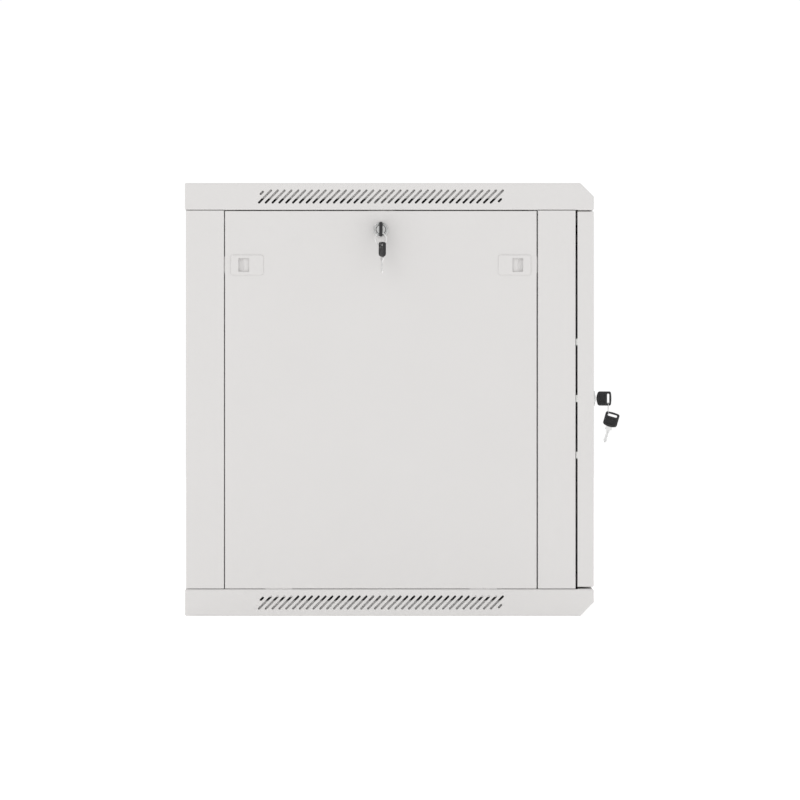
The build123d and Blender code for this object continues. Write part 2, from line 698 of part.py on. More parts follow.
def door_frame():
    """Welded steel door: front sheet with a window, turned edges and slanted vents in the stiles."""
    outer = block((-DOOR_HALF, DOOR_HALF), (DOOR_FRONT_Y, DOOR_REAR_Y), (DOOR_BOTTOM, DOOR_TOP))
    front_edges = outer.faces().sort_by(Axis.Y)[0].edges()
    corner_edges = outer.edges().filter_by(Axis.Y)
    outer = fillet(front_edges + corner_edges, BEND)
    t = FRAME_SHEET
    hollow = block(
        (-DOOR_HALF + t, DOOR_HALF - t),
        (DOOR_FRONT_Y + t, DOOR_REAR_Y - t),
        (DOOR_BOTTOM + t, DOOR_TOP - t),
    )
    lip = DOOR_LIP
    back = block(
        (-DOOR_HALF + lip, DOOR_HALF - lip),
        (DOOR_REAR_Y - 2 * t, DOOR_REAR_Y + PAST),
        (DOOR_BOTTOM + lip, DOOR_TOP - lip),
    )
    front = (DOOR_FRONT_Y - PAST, DOOR_FRONT_Y + t + PAST / 2)
    window = block((-WINDOW_HALF, WINDOW_HALF), front, WINDOW_Z)
    cuts = [hollow, back, window]
    cuts.append(rod_y(DOOR_LOCK[0], front, DOOR_LOCK[2], BARREL_RADIUS + HOLE_CLEARANCE))
    for side in (-1, 1):
        cuts += stile_slots(side, front)
    for z in (DOOR_BOTTOM, DOOR_TOP):
        cuts.append(rod_z(HINGE_X, HINGE_Y, (z - 2 * t, z + 2 * t), PIN_RADIUS + PIN_FIT))
    return outer - cuts


def stile_slots(side, front):
    """Slanted vents down one stile, in two runs that leave the lock's height free."""
    length = 2 * STILE_SLOT_HALF / math.cos(math.radians(STILE_SLOT_ANGLE))
    slots = []
    for low, high in STILE_SLOT_ENDS:
        count = int((high - low) / STILE_SLOT_PITCH)
        for i in range(count + 1):
            z = low + i * (high - low) / count
            bar = Box(length, 2 * (front[1] - front[0]), STILE_SLOT_WIDTH)
            slots.append(Pos(side * STILE_SLOT_X, front[0], z) * Rot(0, -side * STILE_SLOT_ANGLE, 0) * bar)
    return slots


def glass_pane():
    """Flat safety-glass pane behind the window."""
    y = DOOR_FRONT_Y + FRAME_SHEET + GASKET_THICK
    lap = GLASS_OVERLAP
    z = (WINDOW_Z[0] - lap, WINDOW_Z[1] + lap)
    return block((-WINDOW_HALF - lap, WINDOW_HALF + lap), (y, y + GLASS_THICK), z)


def glass_gasket():
    """Flat seal between the window's edge and the glass."""
    y = (DOOR_FRONT_Y + FRAME_SHEET, DOOR_FRONT_Y + FRAME_SHEET + GASKET_THICK)
    lap = GLASS_OVERLAP - GASKET_INSET
    ring = block((-WINDOW_HALF - lap, WINDOW_HALF + lap), y, (WINDOW_Z[0] - lap, WINDOW_Z[1] + lap))
    edge = lap - GASKET_WIDTH
    hole = block(
        (-WINDOW_HALF - edge, WINDOW_HALF + edge),
        (y[0] - PAST, y[1] + PAST),
        (WINDOW_Z[0] - edge, WINDOW_Z[1] + edge),
    )
    return ring - hole


def door_buffers():
    """Three soft buffers on the lock stile's rear edge, about the lock's height."""
    half = BUFFER_HEIGHT / 2
    x = (-DOOR_HALF + BUFFER_INSET, -DOOR_HALF + BUFFER_INSET + BUFFER_WIDTH)
    y = (DOOR_REAR_Y, DOOR_REAR_Y + BUFFER_PROUD)
    pieces = []
    for i in (-1, 0, 1):
        z = DOOR_LOCK[2] + i * BUFFER_PITCH
        pad = block(x, y, (z - half, z + half))
        pieces.append(fillet(pad.faces().sort_by(Axis.Y)[-1].edges(), BUFFER_ROUND))
    return pieces


def hinge_bracket():
    """Small guide bracket inside the door for the sprung upper pin."""
    t = HINGE_BRACKET_SHEET
    wall = DOOR_HALF - FRAME_SHEET
    y = (DOOR_FRONT_Y + FRAME_SHEET, DOOR_REAR_Y - FRAME_SHEET)
    z = (HINGE_BRACKET_Z, HINGE_BRACKET_Z + t)
    shelf = block((HINGE_X - HINGE_BRACKET_REACH, wall), y, z)
    shelf += block((wall - t, wall), y, (z[0] - HINGE_BRACKET_DROP, z[1]))
    return shelf - rod_z(HINGE_X, HINGE_Y, (z[0] - PAST, z[1] + PAST), PIN_RADIUS + PIN_FIT)


def hinge_pin_top():
    """Upper hinge pin with a collar for its spring and a bent finger tail."""
    top = HEIGHT - PAN_HEIGHT + SHEET + PIN_ABOVE_NOSE
    low = HINGE_BRACKET_Z - PIN_BELOW_BRACKET
    pin = rod_z(HINGE_X, HINGE_Y, (low, top), PIN_RADIUS)
    pin += rod_z(HINGE_X, HINGE_Y, PIN_COLLAR_Z, PIN_COLLAR_RADIUS)
    tail = rod_x((HINGE_X - PIN_TAIL_LENGTH, HINGE_X), HINGE_Y, low + PIN_TAIL_RISE, PIN_TAIL_RADIUS)
    return pin + tail


def hinge_pin_bottom():
    """Lower hinge pin, riveted in the floor pan's nose."""
    seat = PAN_HEIGHT - SHEET
    pin = rod_z(HINGE_X, HINGE_Y, (seat, DOOR_BOTTOM + LOWER_PIN_ABOVE_DOOR), PIN_RADIUS)
    return pin + rod_z(HINGE_X, HINGE_Y, (seat - LOWER_PIN_HEAD, seat), PIN_COLLAR_RADIUS)


def hinge_washer():
    """Plastic washer that the door's corner rides on."""
    z = (PAN_HEIGHT, DOOR_BOTTOM - WASHER_GAP)
    bore = rod_z(HINGE_X, HINGE_Y, (z[0] - PAST, z[1] + PAST), PIN_RADIUS + THREAD_FIT)
    return rod_z(HINGE_X, HINGE_Y, z, WASHER_RADIUS) - bore


# Locks and keys, about the lock's own axis

def lock_body(barrel):
    """Lock housing: domed face, barrel through the sheet, bored for the plug."""
    face = rod_y(0, (-LOCK_FACE, 0), 0, LOCK_FACE_RADIUS)
    face = fillet(face.faces().sort_by(Axis.Y)[0].edges(), LOCK_FACE_ROUND)
    body = face + rod_y(0, (0, barrel), 0, BARREL_RADIUS)
    return body - rod_y(0, (-LOCK_FACE - PAST, barrel + PAST), 0, BORE_RADIUS)


def lock_nut(sheet):
    """Hexagon nut that holds the barrel behind the sheet."""
    nut = hexagon_nut(LOCK_NUT_RADIUS, LOCK_NUT, BARREL_RADIUS)
    return Pos(0, sheet + LOCK_NUT, 0) * Rot(90, 0, 0) * nut


def lock_cylinder(barrel, cam_turn):
    """Plug with its keyway, and the cam on its inner end turned to its rest direction."""
    face = -LOCK_FACE + PLUG_RECESS
    plug = rod_y(0, (face, barrel + CAM_GAP), 0, PLUG_RADIUS)
    cam_y = (barrel + CAM_GAP, barrel + CAM_GAP + CAM_THICK)
    cam = block((-CAM_HALF_WIDTH, CAM_HALF_WIDTH), cam_y, (-CAM_LENGTH, 0))
    cam += rod_y(0, cam_y, 0, CAM_HALF_WIDTH)
    plug += Rot(0, cam_turn, 0) * cam
    wide = COLLAR_HALF + KEYWAY_GAP
    narrow = BLADE_HALF + KEYWAY_GAP
    half = BLADE_THICK / 2 + KEYWAY_GAP
    step = -KEY_APEX + COLLAR_LENGTH + KEYWAY_GAP
    keyway = block((-half, half), (face - PAST, step), (-wide, wide))
    depth = min(-KEY_APEX + BLADE_LENGTH + BLADE_END_GAP, barrel - BARREL_WALL)
    keyway += block((-half, half), (face - PAST, depth), (-narrow, narrow))
    return plug - keyway


def key_bow():
    """Moulded key head, its rounded inner edge at the blade and a ring slot near the outer edge."""
    far = BOW_LENGTH
    side = far - BOW_CROWN
    curve = ThreePointArc((BOW_SHOULDER, -BOW_HALF), (0, 0), (BOW_SHOULDER, BOW_HALF))
    edge = ThreePointArc((side, BOW_HALF), (far, 0), (side, -BOW_HALF))
    upper = Line((BOW_SHOULDER, BOW_HALF), (side, BOW_HALF))
    lower = Line((side, -BOW_HALF), (BOW_SHOULDER, -BOW_HALF))
    outline = fillet(make_face([curve, upper, edge, lower]).vertices(), BOW_CORNER)
    outline -= Pos(KEY_SLOT_U, 0) * Rot(0, 0, 90) * SlotOverall(2 * KEY_SLOT_HALF, KEY_SLOT_WIDTH)
    head = extrude(outline, BOW_THICK / 2, both=True)
    rims = head.faces().filter_by(Axis.Z)
    head = fillet([e for face in rims for e in face.outer_wire().edges()], BOW_ROUND)
    return head - Box(2 * BOW_SOCKET, 2 * BLADE_HALF, BLADE_THICK)


def key_blade(length):
    """Flat steel blade with a wider collar by the bow and a groove along one face."""
    half = BLADE_THICK / 2
    collar = block((-COLLAR_LENGTH, -BLADE_ROOT), (-COLLAR_HALF, COLLAR_HALF), (-half, half))
    root = block((-BLADE_ROOT, BLADE_ROOT), (-BLADE_HALF, BLADE_HALF), (-half, half))
    tip = [
        (0, BLADE_HALF),
        (-length + BLADE_TIP, BLADE_HALF),
        (-length, BLADE_POINT),
        (-length + BLADE_TIP, -BLADE_HALF),
        (0, -BLADE_HALF),
    ]
    shank = extrude(make_face(Polyline(*tip, close=True)), half, both=True)
    depth = BLADE_GROOVE
    groove = block((-length + depth, -COLLAR_LENGTH), (-depth, depth), (half - depth, half + depth))
    return collar + root + shank - groove


# Key drawings have u along x, v along y and thickness along z; in the lock, u points to -y and v to z
KEY_STAND = Plane(origin=(0, -KEY_APEX, 0), x_dir=(0, -1, 0), z_dir=(-1, 0, 0)).location
RING_Y = -KEY_APEX - KEY_SLOT_U
RING_INNER = RING_RADIUS - RING_WIRE
RING_Z = -KEY_SLOT_HALF + RING_SEAT - math.sqrt(RING_INNER ** 2 - (BOW_THICK / 2) ** 2)
WIRE_Z = RING_Z - RING_RADIUS


def key_ring():
    """Closed steel ring through the key's slot, round the slot's lower bridge."""
    return Pos(0, RING_Y, RING_Z) * Rot(90, 0, 0) * Torus(RING_RADIUS, RING_WIRE)


def spare_key(piece, tilt):
    """Hang a key drawing from the ring's lowest point by the end of its own slot."""
    hold = Location((-KEY_SLOT_U, KEY_SLOT_HALF - SPARE_SEAT, 0))
    up = math.radians(90 + tilt)
    frame = Plane(
        origin=(0, RING_Y, WIRE_Z),
        x_dir=(0, math.cos(up), math.sin(up)),
        z_dir=(1, 0, 0),
    )
    return frame.location * hold * piece


def turned_on_ring(piece, turn):
    """Turn a hanging piece about the vertical line through the ring's top."""
    return Pos(0, RING_Y, 0) * Rot(0, 0, turn) * Pos(0, -RING_Y, 0) * piece


# Side panels and slide latches

def side_panel():
    """Left side panel: a shallow sheet tray with hooks at the foot, and holes for its lock and latches."""
    x = (-HALF_W, -HALF_W + PANEL_DEPTH)
    tray = block(x, (PANEL_FRONT_Y, PANEL_REAR_Y), (PANEL_BOTTOM, PANEL_TOP))
    corners = tray.edges().filter_by(Axis.X)
    tray = fillet(tray.faces().sort_by(Axis.X)[0].edges() + corners, BEND / 2)
    t = PANEL_SHEET
    inside_y = (PANEL_FRONT_Y + t, PANEL_REAR_Y - t)
    tray -= block((x[0] + t, x[1] + PAST), inside_y, (PANEL_BOTTOM + t, PANEL_TOP - t))
    back = x[0] + t + TAB_SHEET
    for side in (-1, 1):
        y = SIDE_LOCK_Y + side * TAB_SPACING
        width = (y - TAB_HALF, y + TAB_HALF)
        rise = (PANEL_BOTTOM + TAB_OVERLAP, PANEL_BOTTOM + TAB_RISE)
        drop = (PANEL_BOTTOM - TAB_DROP, PANEL_BOTTOM + t)
        tray += block((x[0] + t, back), width, rise)
        tray += block((back - HOOK_SHEET, back), width, drop)
    skin = (x[0] - PAST, x[0] + t + PAST)
    cuts = [rod_x(skin, SIDE_LOCK_Y, SIDE_LOCK_Z, BARREL_RADIUS + HOLE_CLEARANCE)]
    half = LATCH_WINDOW_HALF_Z
    window = block(skin, LATCH_WINDOW_Y, (LATCH_Z - half, LATCH_Z + half))
    slot_x = (SLIDER_X[0] - LATCH_GAP, SLIDER_X[1] + LATCH_GAP)
    half = SLIDER_HALF_Z + LATCH_GAP
    port_y = (PANEL_REAR_Y - PORT_DEPTH, PANEL_REAR_Y + PORT_DEPTH)
    port = block(slot_x, port_y, (LATCH_Z - half, LATCH_Z + half))
    cuts += [window, port, to_front(window), to_front(port)]
    return tray - cuts


def to_front(piece):
    """The rear latch's piece mirrored to the front latch."""
    plane = Plane.XZ.offset(-LATCH_MIDDLE_Y)
    shift = PANEL_FRONT_Y + PANEL_REAR_Y - 2 * LATCH_MIDDLE_Y
    return Pos(0, shift, 0) * mirror(piece, about=plane)


def latch_bezel():
    """Rear latch's moulded surround on the panel's face."""
    x = (-HALF_W - BEZEL_THICK, -HALF_W)
    plate = block(x, BEZEL_Y, (LATCH_Z - BEZEL_HALF_Z, LATCH_Z + BEZEL_HALF_Z))
    plate = fillet(plate.edges().filter_by(Axis.X), BEZEL_CORNER)
    plate = fillet(plate.faces().sort_by(Axis.X)[0].edges(), BEZEL_ROUND)
    half = LATCH_WINDOW_HALF_Z
    hole = block((x[0] - PAST, x[1] + PAST), LATCH_WINDOW_Y, (LATCH_Z - half, LATCH_Z + half))
    hole = fillet(hole.edges().filter_by(Axis.X), LATCH_WINDOW_CORNER)
    return plate - hole


def latch_slider():
    """Rear latch's slider: thumb plate with a scooped finger hold, and the tongue at its outer end."""
    z = (LATCH_Z - SLIDER_HALF_Z, LATCH_Z + SLIDER_HALF_Z)
    plate = block(SLIDER_X, SLIDER_Y, z)
    scoop_x = SLIDER_X[0] - SCOOP_RADIUS + SCOOP_DEPTH
    scoop_z = (LATCH_Z - SCOOP_HALF_Z, LATCH_Z + SCOOP_HALF_Z)
    plate -= rod_z(scoop_x, LATCH_WINDOW_Y[1] - SCOOP_INSET, scoop_z, SCOOP_RADIUS)
    return fillet(plate.faces().sort_by(Axis.Y)[-1].edges().filter_by(Axis.Z), SLIDER_TIP_ROUND)


DOOR_PLACE = Location(DOOR_LOCK)
SIDE_PLACE = Location((-HALF_W, SIDE_LOCK_Y, SIDE_LOCK_Z)) * Location((0, 0, 0), (0, 0, -90))


def write_frame():
    """Write the cabinet's fixed frame."""
    write("top_panel", [top_panel()])
    write("bottom_panel", [bottom_panel()])
    pairs = {
        "front_upright": [front_upright()],
        "rear_upright": [rear_upright()],
        "side_rails": side_rails(),
        "depth_rails": [depth_rail(z) for z in DEPTH_RAIL_CENTRES_Z],
    }
    for name, pieces in pairs.items():
        write(name + "_left", pieces)
        write(name + "_right", [mirror_x(piece) for piece in pieces])
    write("rear_panel", [rear_panel()])
    write("top_cable_cover", [cable_cover((HEIGHT - 2 * SHEET, HEIGHT - SHEET))])
    write("bottom_cable_cover", [cable_cover((SHEET, 2 * SHEET))])
    write("rear_cable_cover", [rear_cable_cover()])
    write("frame_screws", frame_screws())
    write("cover_screws", cover_screws())
    write("ground_stud", ground_stud())
    write("hinge_pin_bottom", [hinge_pin_bottom()])
    write("hinge_washer", [hinge_washer()])


def write_rack():
    """Write the four adjustable rack rails with their bolts, and the front rails' caged nuts."""
    sets = {"rack_rail": [rack_rail()], "rack_bolts": rack_bolts()}
    for name, pieces in sets.items():
        rear = to_rear(pieces)
        write(name + "_front_left", pieces)
        write(name + "_front_right", [mirror_x(piece) for piece in pieces])
        write(name + "_rear_left", rear)
        write(name + "_rear_right", [mirror_x(piece) for piece in rear])
    nuts = cage_nuts()
    write("cage_nuts_left", nuts)
    write("cage_nuts_right", [mirror_x(nut) for nut in nuts])


def write_door():
    """Write the door, its glass, hinge pieces, lock and keys."""
    write("door_frame", [door_frame()])
    write("door_glass", [glass_pane()])
    write("glass_gasket", [glass_gasket()])
    write("door_buffers", door_buffers())
    write("hinge_bracket", [hinge_bracket()])
    write("hinge_pin_top", [hinge_pin_top()])
    write("door_lock_body", [DOOR_PLACE * lock_body(DOOR_BARREL)])
    write("door_lock_nut", [DOOR_PLACE * lock_nut(FRAME_SHEET)])
    write("door_lock_cylinder", [DOOR_PLACE * lock_cylinder(DOOR_BARREL, 0)])
    write("door_key_bow", [DOOR_PLACE * KEY_STAND * key_bow()])
    write("door_key_blade", [DOOR_PLACE * KEY_STAND * key_blade(BLADE_LENGTH)])
    write("door_key_ring", [DOOR_PLACE * key_ring()])
    write("door_spare_bow", [DOOR_PLACE * spare_key(key_bow(), DOOR_SPARE_TILT)])
    write("door_spare_blade", [DOOR_PLACE * spare_key(key_blade(BLADE_LENGTH), DOOR_SPARE_TILT)])


def write_sides():
    """Write both side panels with their locks and latches, and the left lock's keys."""
    slider = latch_slider()
    bezel = latch_bezel()
    short_blade = SIDE_BARREL + KEY_APEX - BARREL_WALL - BLADE_END_GAP
    sets = {
        "side_panel": [side_panel()],
        "side_lock_body": [SIDE_PLACE * lock_body(SIDE_BARREL), SIDE_PLACE * lock_nut(PANEL_SHEET)],
        "side_lock_cylinder": [SIDE_PLACE * lock_cylinder(SIDE_BARREL, 90)],
        "latch_bezels": [bezel, to_front(bezel)],
        "latch_rear": [slider],
        "latch_front": [to_front(slider)],
    }
    for name, pieces in sets.items():
        write(name + "_left", pieces)
        write(name + "_right", [mirror_x(piece) for piece in pieces])
    write("side_key_bow", [SIDE_PLACE * KEY_STAND * key_bow()])
    write("side_key_blade", [SIDE_PLACE * KEY_STAND * key_blade(short_blade)])
    write("side_key_ring", [SIDE_PLACE * turned_on_ring(key_ring(), RING_TURN)])
    side_spare_bow = spare_key(key_bow(), SIDE_SPARE_TILT)
    write("side_spare_bow", [SIDE_PLACE * turned_on_ring(side_spare_bow, RING_TURN)])
    side_spare_blade = spare_key(key_blade(BLADE_LENGTH), SIDE_SPARE_TILT)
    write("side_spare_blade", [SIDE_PLACE * turned_on_ring(side_spare_blade, RING_TURN)])


os.makedirs("parts", exist_ok=True)
write_frame()
write_rack()
write_door()
write_sides()
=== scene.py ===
"""Looks of a wall-mount network cabinet: its finishes, keys, fasteners, studio and camera."""

import json
import logging
import math
from dataclasses import dataclass, field
from enum import Enum

import bmesh
import bpy
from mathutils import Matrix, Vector

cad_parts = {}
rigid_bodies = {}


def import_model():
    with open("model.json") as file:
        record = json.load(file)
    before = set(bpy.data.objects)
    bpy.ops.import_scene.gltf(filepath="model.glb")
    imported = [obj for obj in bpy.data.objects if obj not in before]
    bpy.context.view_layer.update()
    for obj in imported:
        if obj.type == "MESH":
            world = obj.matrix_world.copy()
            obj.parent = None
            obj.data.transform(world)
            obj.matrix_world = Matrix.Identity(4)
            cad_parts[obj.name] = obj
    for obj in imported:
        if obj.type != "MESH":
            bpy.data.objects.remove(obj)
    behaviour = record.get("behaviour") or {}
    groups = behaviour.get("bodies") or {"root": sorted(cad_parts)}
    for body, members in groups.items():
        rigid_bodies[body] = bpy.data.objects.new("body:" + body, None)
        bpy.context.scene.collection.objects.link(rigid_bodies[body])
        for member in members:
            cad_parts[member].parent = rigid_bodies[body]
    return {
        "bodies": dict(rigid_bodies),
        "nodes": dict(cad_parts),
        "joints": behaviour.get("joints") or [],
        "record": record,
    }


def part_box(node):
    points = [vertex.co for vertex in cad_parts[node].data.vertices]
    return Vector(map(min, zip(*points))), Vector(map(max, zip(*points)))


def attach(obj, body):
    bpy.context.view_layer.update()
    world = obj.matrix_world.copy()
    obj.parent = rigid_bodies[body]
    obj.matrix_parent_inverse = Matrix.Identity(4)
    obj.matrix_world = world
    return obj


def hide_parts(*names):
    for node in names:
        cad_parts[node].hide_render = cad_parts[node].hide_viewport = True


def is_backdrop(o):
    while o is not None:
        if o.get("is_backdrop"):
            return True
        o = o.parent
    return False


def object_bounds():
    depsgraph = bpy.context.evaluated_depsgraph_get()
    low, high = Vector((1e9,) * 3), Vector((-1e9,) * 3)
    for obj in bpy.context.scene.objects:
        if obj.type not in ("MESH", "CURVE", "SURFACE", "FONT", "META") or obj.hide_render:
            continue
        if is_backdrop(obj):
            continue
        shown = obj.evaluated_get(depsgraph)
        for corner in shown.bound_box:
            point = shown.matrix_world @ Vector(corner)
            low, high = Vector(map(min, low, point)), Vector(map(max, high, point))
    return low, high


LOG = logging.getLogger("cabinet")
MM = 0.001
SMOOTH_ANGLE = math.radians(32)
NODE_STEP = 180
WELD = 0.001 * MM
BEVEL = 0.4 * MM

Colour = tuple[float, float, float]
Outline = list[tuple[float, float]]
Ring = list[bmesh.types.BMVert]


class Maths(Enum):
    """Named arithmetic of a Math node."""

    ADD = "ADD"
    SUBTRACT = "SUBTRACT"
    MULTIPLY = "MULTIPLY"


# Shader graph helpers


class Term:
    """A shader output socket that takes part in Python arithmetic."""

    def __init__(self, graph: "Graph", socket: bpy.types.NodeSocket) -> None:
        """Wrap a socket.

        Args:
            graph: The graph that the socket is in.
            socket: The output socket to wrap.
        """
        self.graph = graph
        self.socket = socket

    def _join(self, how: Maths, first: "Term | float", second: "Term | float") -> "Term":
        """Add one Math node for two values.

        Args:
            how: The arithmetic to do.
            first: Left value.
            second: Right value.

        Returns:
            The node's result.
        """
        return self.graph.add("ShaderNodeMath", {"operation": how.value}, {0: first, 1: second})

    def __add__(self, other: "Term | float") -> "Term":
        """Sum."""
        return self._join(Maths.ADD, self, other)

    def __radd__(self, other: float) -> "Term":
        """Reflected sum."""
        return self._join(Maths.ADD, other, self)

    def __sub__(self, other: "Term | float") -> "Term":
        """Difference."""
        return self._join(Maths.SUBTRACT, self, other)

    def __rsub__(self, other: float) -> "Term":
        """Reflected difference."""
        return self._join(Maths.SUBTRACT, other, self)

    def __mul__(self, other: "Term | float") -> "Term":
        """Product."""
        return self._join(Maths.MULTIPLY, self, other)

    def __rmul__(self, other: float) -> "Term":
        """Reflected product."""
        return self._join(Maths.MULTIPLY, other, self)


class Graph:
    """One material's node tree, with its main shader and output in place."""

    def __init__(self, name: str) -> None:
        """Start a material.

        Args:
            name: The material's name.
        """
        self.material = bpy.data.materials.new(name)
        self.material.use_nodes = True
        self.tree = self.material.node_tree
        self.shader = next(n for n in self.tree.nodes if n.type == "BSDF_PRINCIPLED")
        self.columns = 0

    def add(
        self,
        kind: str,
        settings: dict[str, object],
        inputs: dict[int | str, object],
        output: int | str = 0,
    ) -> Term:
        """Add any node.

        Args:
            kind: The node's type name.
            settings: Properties to set first.
            inputs: Values or terms for the node's sockets.
            output: The output to return.

        Returns:
            The chosen output as a term.
        """
        node = self.tree.nodes.new(kind)
        self.columns += 1
        node.location = (-NODE_STEP * self.columns, 0)
        for key, value in settings.items():
            setattr(node, key, value)
        for key, value in inputs.items():
            self._feed(node.inputs[key], value)
        return Term(self, node.outputs[output])

    def _feed(self, socket: bpy.types.NodeSocket, value: object) -> None:
        """Link a term to a socket, or set its value.

        Args:
            socket: The input socket.
            value: A term, number, colour or vector.
        """
        if isinstance(value, Term):
            self.tree.links.new(value.socket, socket)
        elif isinstance(value, tuple) and len(value) == 3 and socket.type == "RGBA":
            socket.default_value = (*value, 1.0)
        else:
            socket.default_value = value

    def set(self, name: str, value: object) -> None:
        """Set or link one of the main shader's sockets.

        Args:
            name: The socket's name.
            value: A term or a constant.
        """
        self._feed(self.shader.inputs[name], value)

    def place(self) -> Term:
        """Coordinates in the object's own frame, in metres."""
        return self.add("ShaderNodeTexCoord", {}, {}, "Object")

    def noise(self, size: float, detail: float = 2.0, rough: float = 0.5, place: Term | None = None) -> Term:
        """Soft noise whose grains are about the given size.

        Args:
            size: Grain size in metres.
            detail: Octaves.
            rough: How strong the finer octaves are.
            place: Coordinates to use, or the object's own.

        Returns:
            A value about 0.5.
        """
        inputs = {
            "Vector": place or self.place(),
            "Scale": 1.0 / size,
            "Detail": detail,
            "Roughness": rough,
        }
        return self.add("ShaderNodeTexNoise", {}, inputs, "Fac")

    def stretched(self, scale: tuple[float, float, float]) -> Term:
        """The object's coordinates, scaled along each axis.

        Args:
            scale: Factor along x, y and z.

        Returns:
            The scaled coordinates.
        """
        return self.add("ShaderNodeMapping", {}, {"Vector": self.place(), "Scale": scale})

    def mix(self, share: Term, low: Colour, high: Colour) -> Term:
        """A colour between two colours.

        Args:
            share: 0 for the first colour, 1 for the second.
            low: First colour.
            high: Second colour.

        Returns:
            The mixed colour.
        """
        inputs = {0: share, 6: (*low, 1.0), 7: (*high, 1.0)}
        return self.add("ShaderNodeMix", {"data_type": "RGBA"}, inputs, 2)

    def bump(self, height: Term, depth: float, strength: float = 1.0) -> None:
        """Drive the main shader's normal with a height.

        Args:
            height: Height pattern, 0 to 1.
            depth: Height of 1 in metres.
            strength: Share of the effect.
        """
        inputs = {"Height": height, "Distance": depth, "Strength": strength}
        self.set("Normal", self.add("ShaderNodeBump", {}, inputs, "Normal"))


# Finishes


@dataclass(frozen=True)
class PowderCoat:
    """Baked powder coat on sheet steel: fine orange peel and an even, slightly glossy tone."""

    name: str = "powder_coat"
    tone: Colour = (0.604, 0.592, 0.584)
    shade: Colour = (0.592, 0.580, 0.572)
    peel: float = 1.1 * MM
    peel_depth: float = 0.018 * MM
    peel_rough: float = 0.45
    grain: float = 0.28 * MM
    grain_share: float = 0.2
    patch: float = 90 * MM
    gloss: float = 0.42
    gloss_by_grain: float = 0.08
    gloss_by_patch: float = 0.05

    def build(self) -> bpy.types.Material:
        """Make the material."""
        g = Graph(self.name)
        broad = g.noise(self.patch, 1.0)
        g.set("Base Color", g.mix(broad, self.shade, self.tone))
        fine = g.noise(self.grain, 1.0)
        spread = self.gloss_by_grain * (fine - 0.5) + self.gloss_by_patch * (broad - 0.5)
        g.set("Roughness", self.gloss + spread)
        peel = g.noise(self.peel, 2.0, self.peel_rough) * (1 - self.grain_share)
        g.bump(peel + self.grain_share * fine, self.peel_depth)
        g.set("Specular IOR Level", 0.5)
        return g.material


@dataclass(frozen=True)
class ZincSheet:
    """Zinc-coated sheet with faint crystal patches and rolling lines along the part."""

    name: str = "galvanised"
    light: Colour = (0.60, 0.62, 0.64)
    dark: Colour = (0.47, 0.49, 0.51)
    crystal: float = 7 * MM
    crystal_share: float = 0.7
    line: float = 1.0 * MM
    line_squeeze: float = 0.03
    line_depth: float = 0.012 * MM
    gloss: float = 0.34
    gloss_by_crystal: float = 0.12
    gloss_by_line: float = 0.08

    def build(self) -> bpy.types.Material:
        """Make the material."""
        g = Graph(self.name)
        cells = g.add(
            "ShaderNodeTexVoronoi",
            {"feature": "F1"},
            {"Vector": g.place(), "Scale": 1.0 / self.crystal},
            "Color",
        )
        spangle = g.add("ShaderNodeSeparateColor", {}, {"Color": cells}, "Red")
        lines = g.noise(self.line, 2.0, 0.5, g.stretched((1.0, 1.0, self.line_squeeze)))
        share = self.crystal_share * spangle + (1 - self.crystal_share) * lines
        g.set("Base Color", g.mix(share, self.dark, self.light))
        g.set("Metallic", 1.0)
        g.set("Roughness", self.gloss + self.gloss_by_crystal * spangle + self.gloss_by_line * lines)
        g.bump(lines, self.line_depth)
        return g.material


@dataclass(frozen=True)
class PlatedSteel:
    """Bright plated steel for fasteners, pins, keys and rings, with fine drawn marks."""

    name: str
    light: Colour = (0.74, 0.74, 0.73)
    dark: Colour = (0.60, 0.60, 0.60)
    gloss: float = 0.24
    mark: float = 0.5 * MM
    mark_rough: float = 0.6
    mark_depth: float = 0.006 * MM
    patch: float = 4 * MM
    gloss_by_mark: float = 0.14
    gloss_by_patch: float = 0.10

    def build(self) -> bpy.types.Material:
        """Make the material."""
        g = Graph(self.name)
        marks = g.noise(self.mark, 3.0, self.mark_rough)
        patches = g.noise(self.patch, 2.0)
        g.set("Base Color", g.mix(0.5 * marks + 0.5 * patches, self.dark, self.light))
        g.set("Metallic", 1.0)
        spread = self.gloss_by_mark * (marks - 0.5) + self.gloss_by_patch * (patches - 0.5)
        g.set("Roughness", self.gloss + spread)
        g.bump(marks, self.mark_depth)
        return g.material


@dataclass(frozen=True)
class PolishedLock:
    """Nickel-chrome lock face: mirror-like with hair scratches from keys."""

    name: str = "lock_chrome"
    light: Colour = (0.60, 0.60, 0.59)
    dark: Colour = (0.44, 0.44, 0.44)
    hair: float = 0.6 * MM
    hair_rough: float = 0.7
    hair_squeeze: float = 0.12
    hair_depth: float = 0.003 * MM
    haze: float = 2.6 * MM
    gloss: float = 0.13
    gloss_by_hair: float = 0.10

    def build(self) -> bpy.types.Material:
        """Make the material."""
        g = Graph(self.name)
        hairs = g.noise(self.hair, 4.0, self.hair_rough, g.stretched((1.0, 1.0, self.hair_squeeze)))
        haze = g.noise(self.haze, 2.0)
        g.set("Base Color", g.mix(haze, self.dark, self.light))
        g.set("Metallic", 1.0)
        g.set("Roughness", self.gloss + self.gloss_by_hair * hairs * haze)
        g.bump(hairs, self.hair_depth)
        return g.material


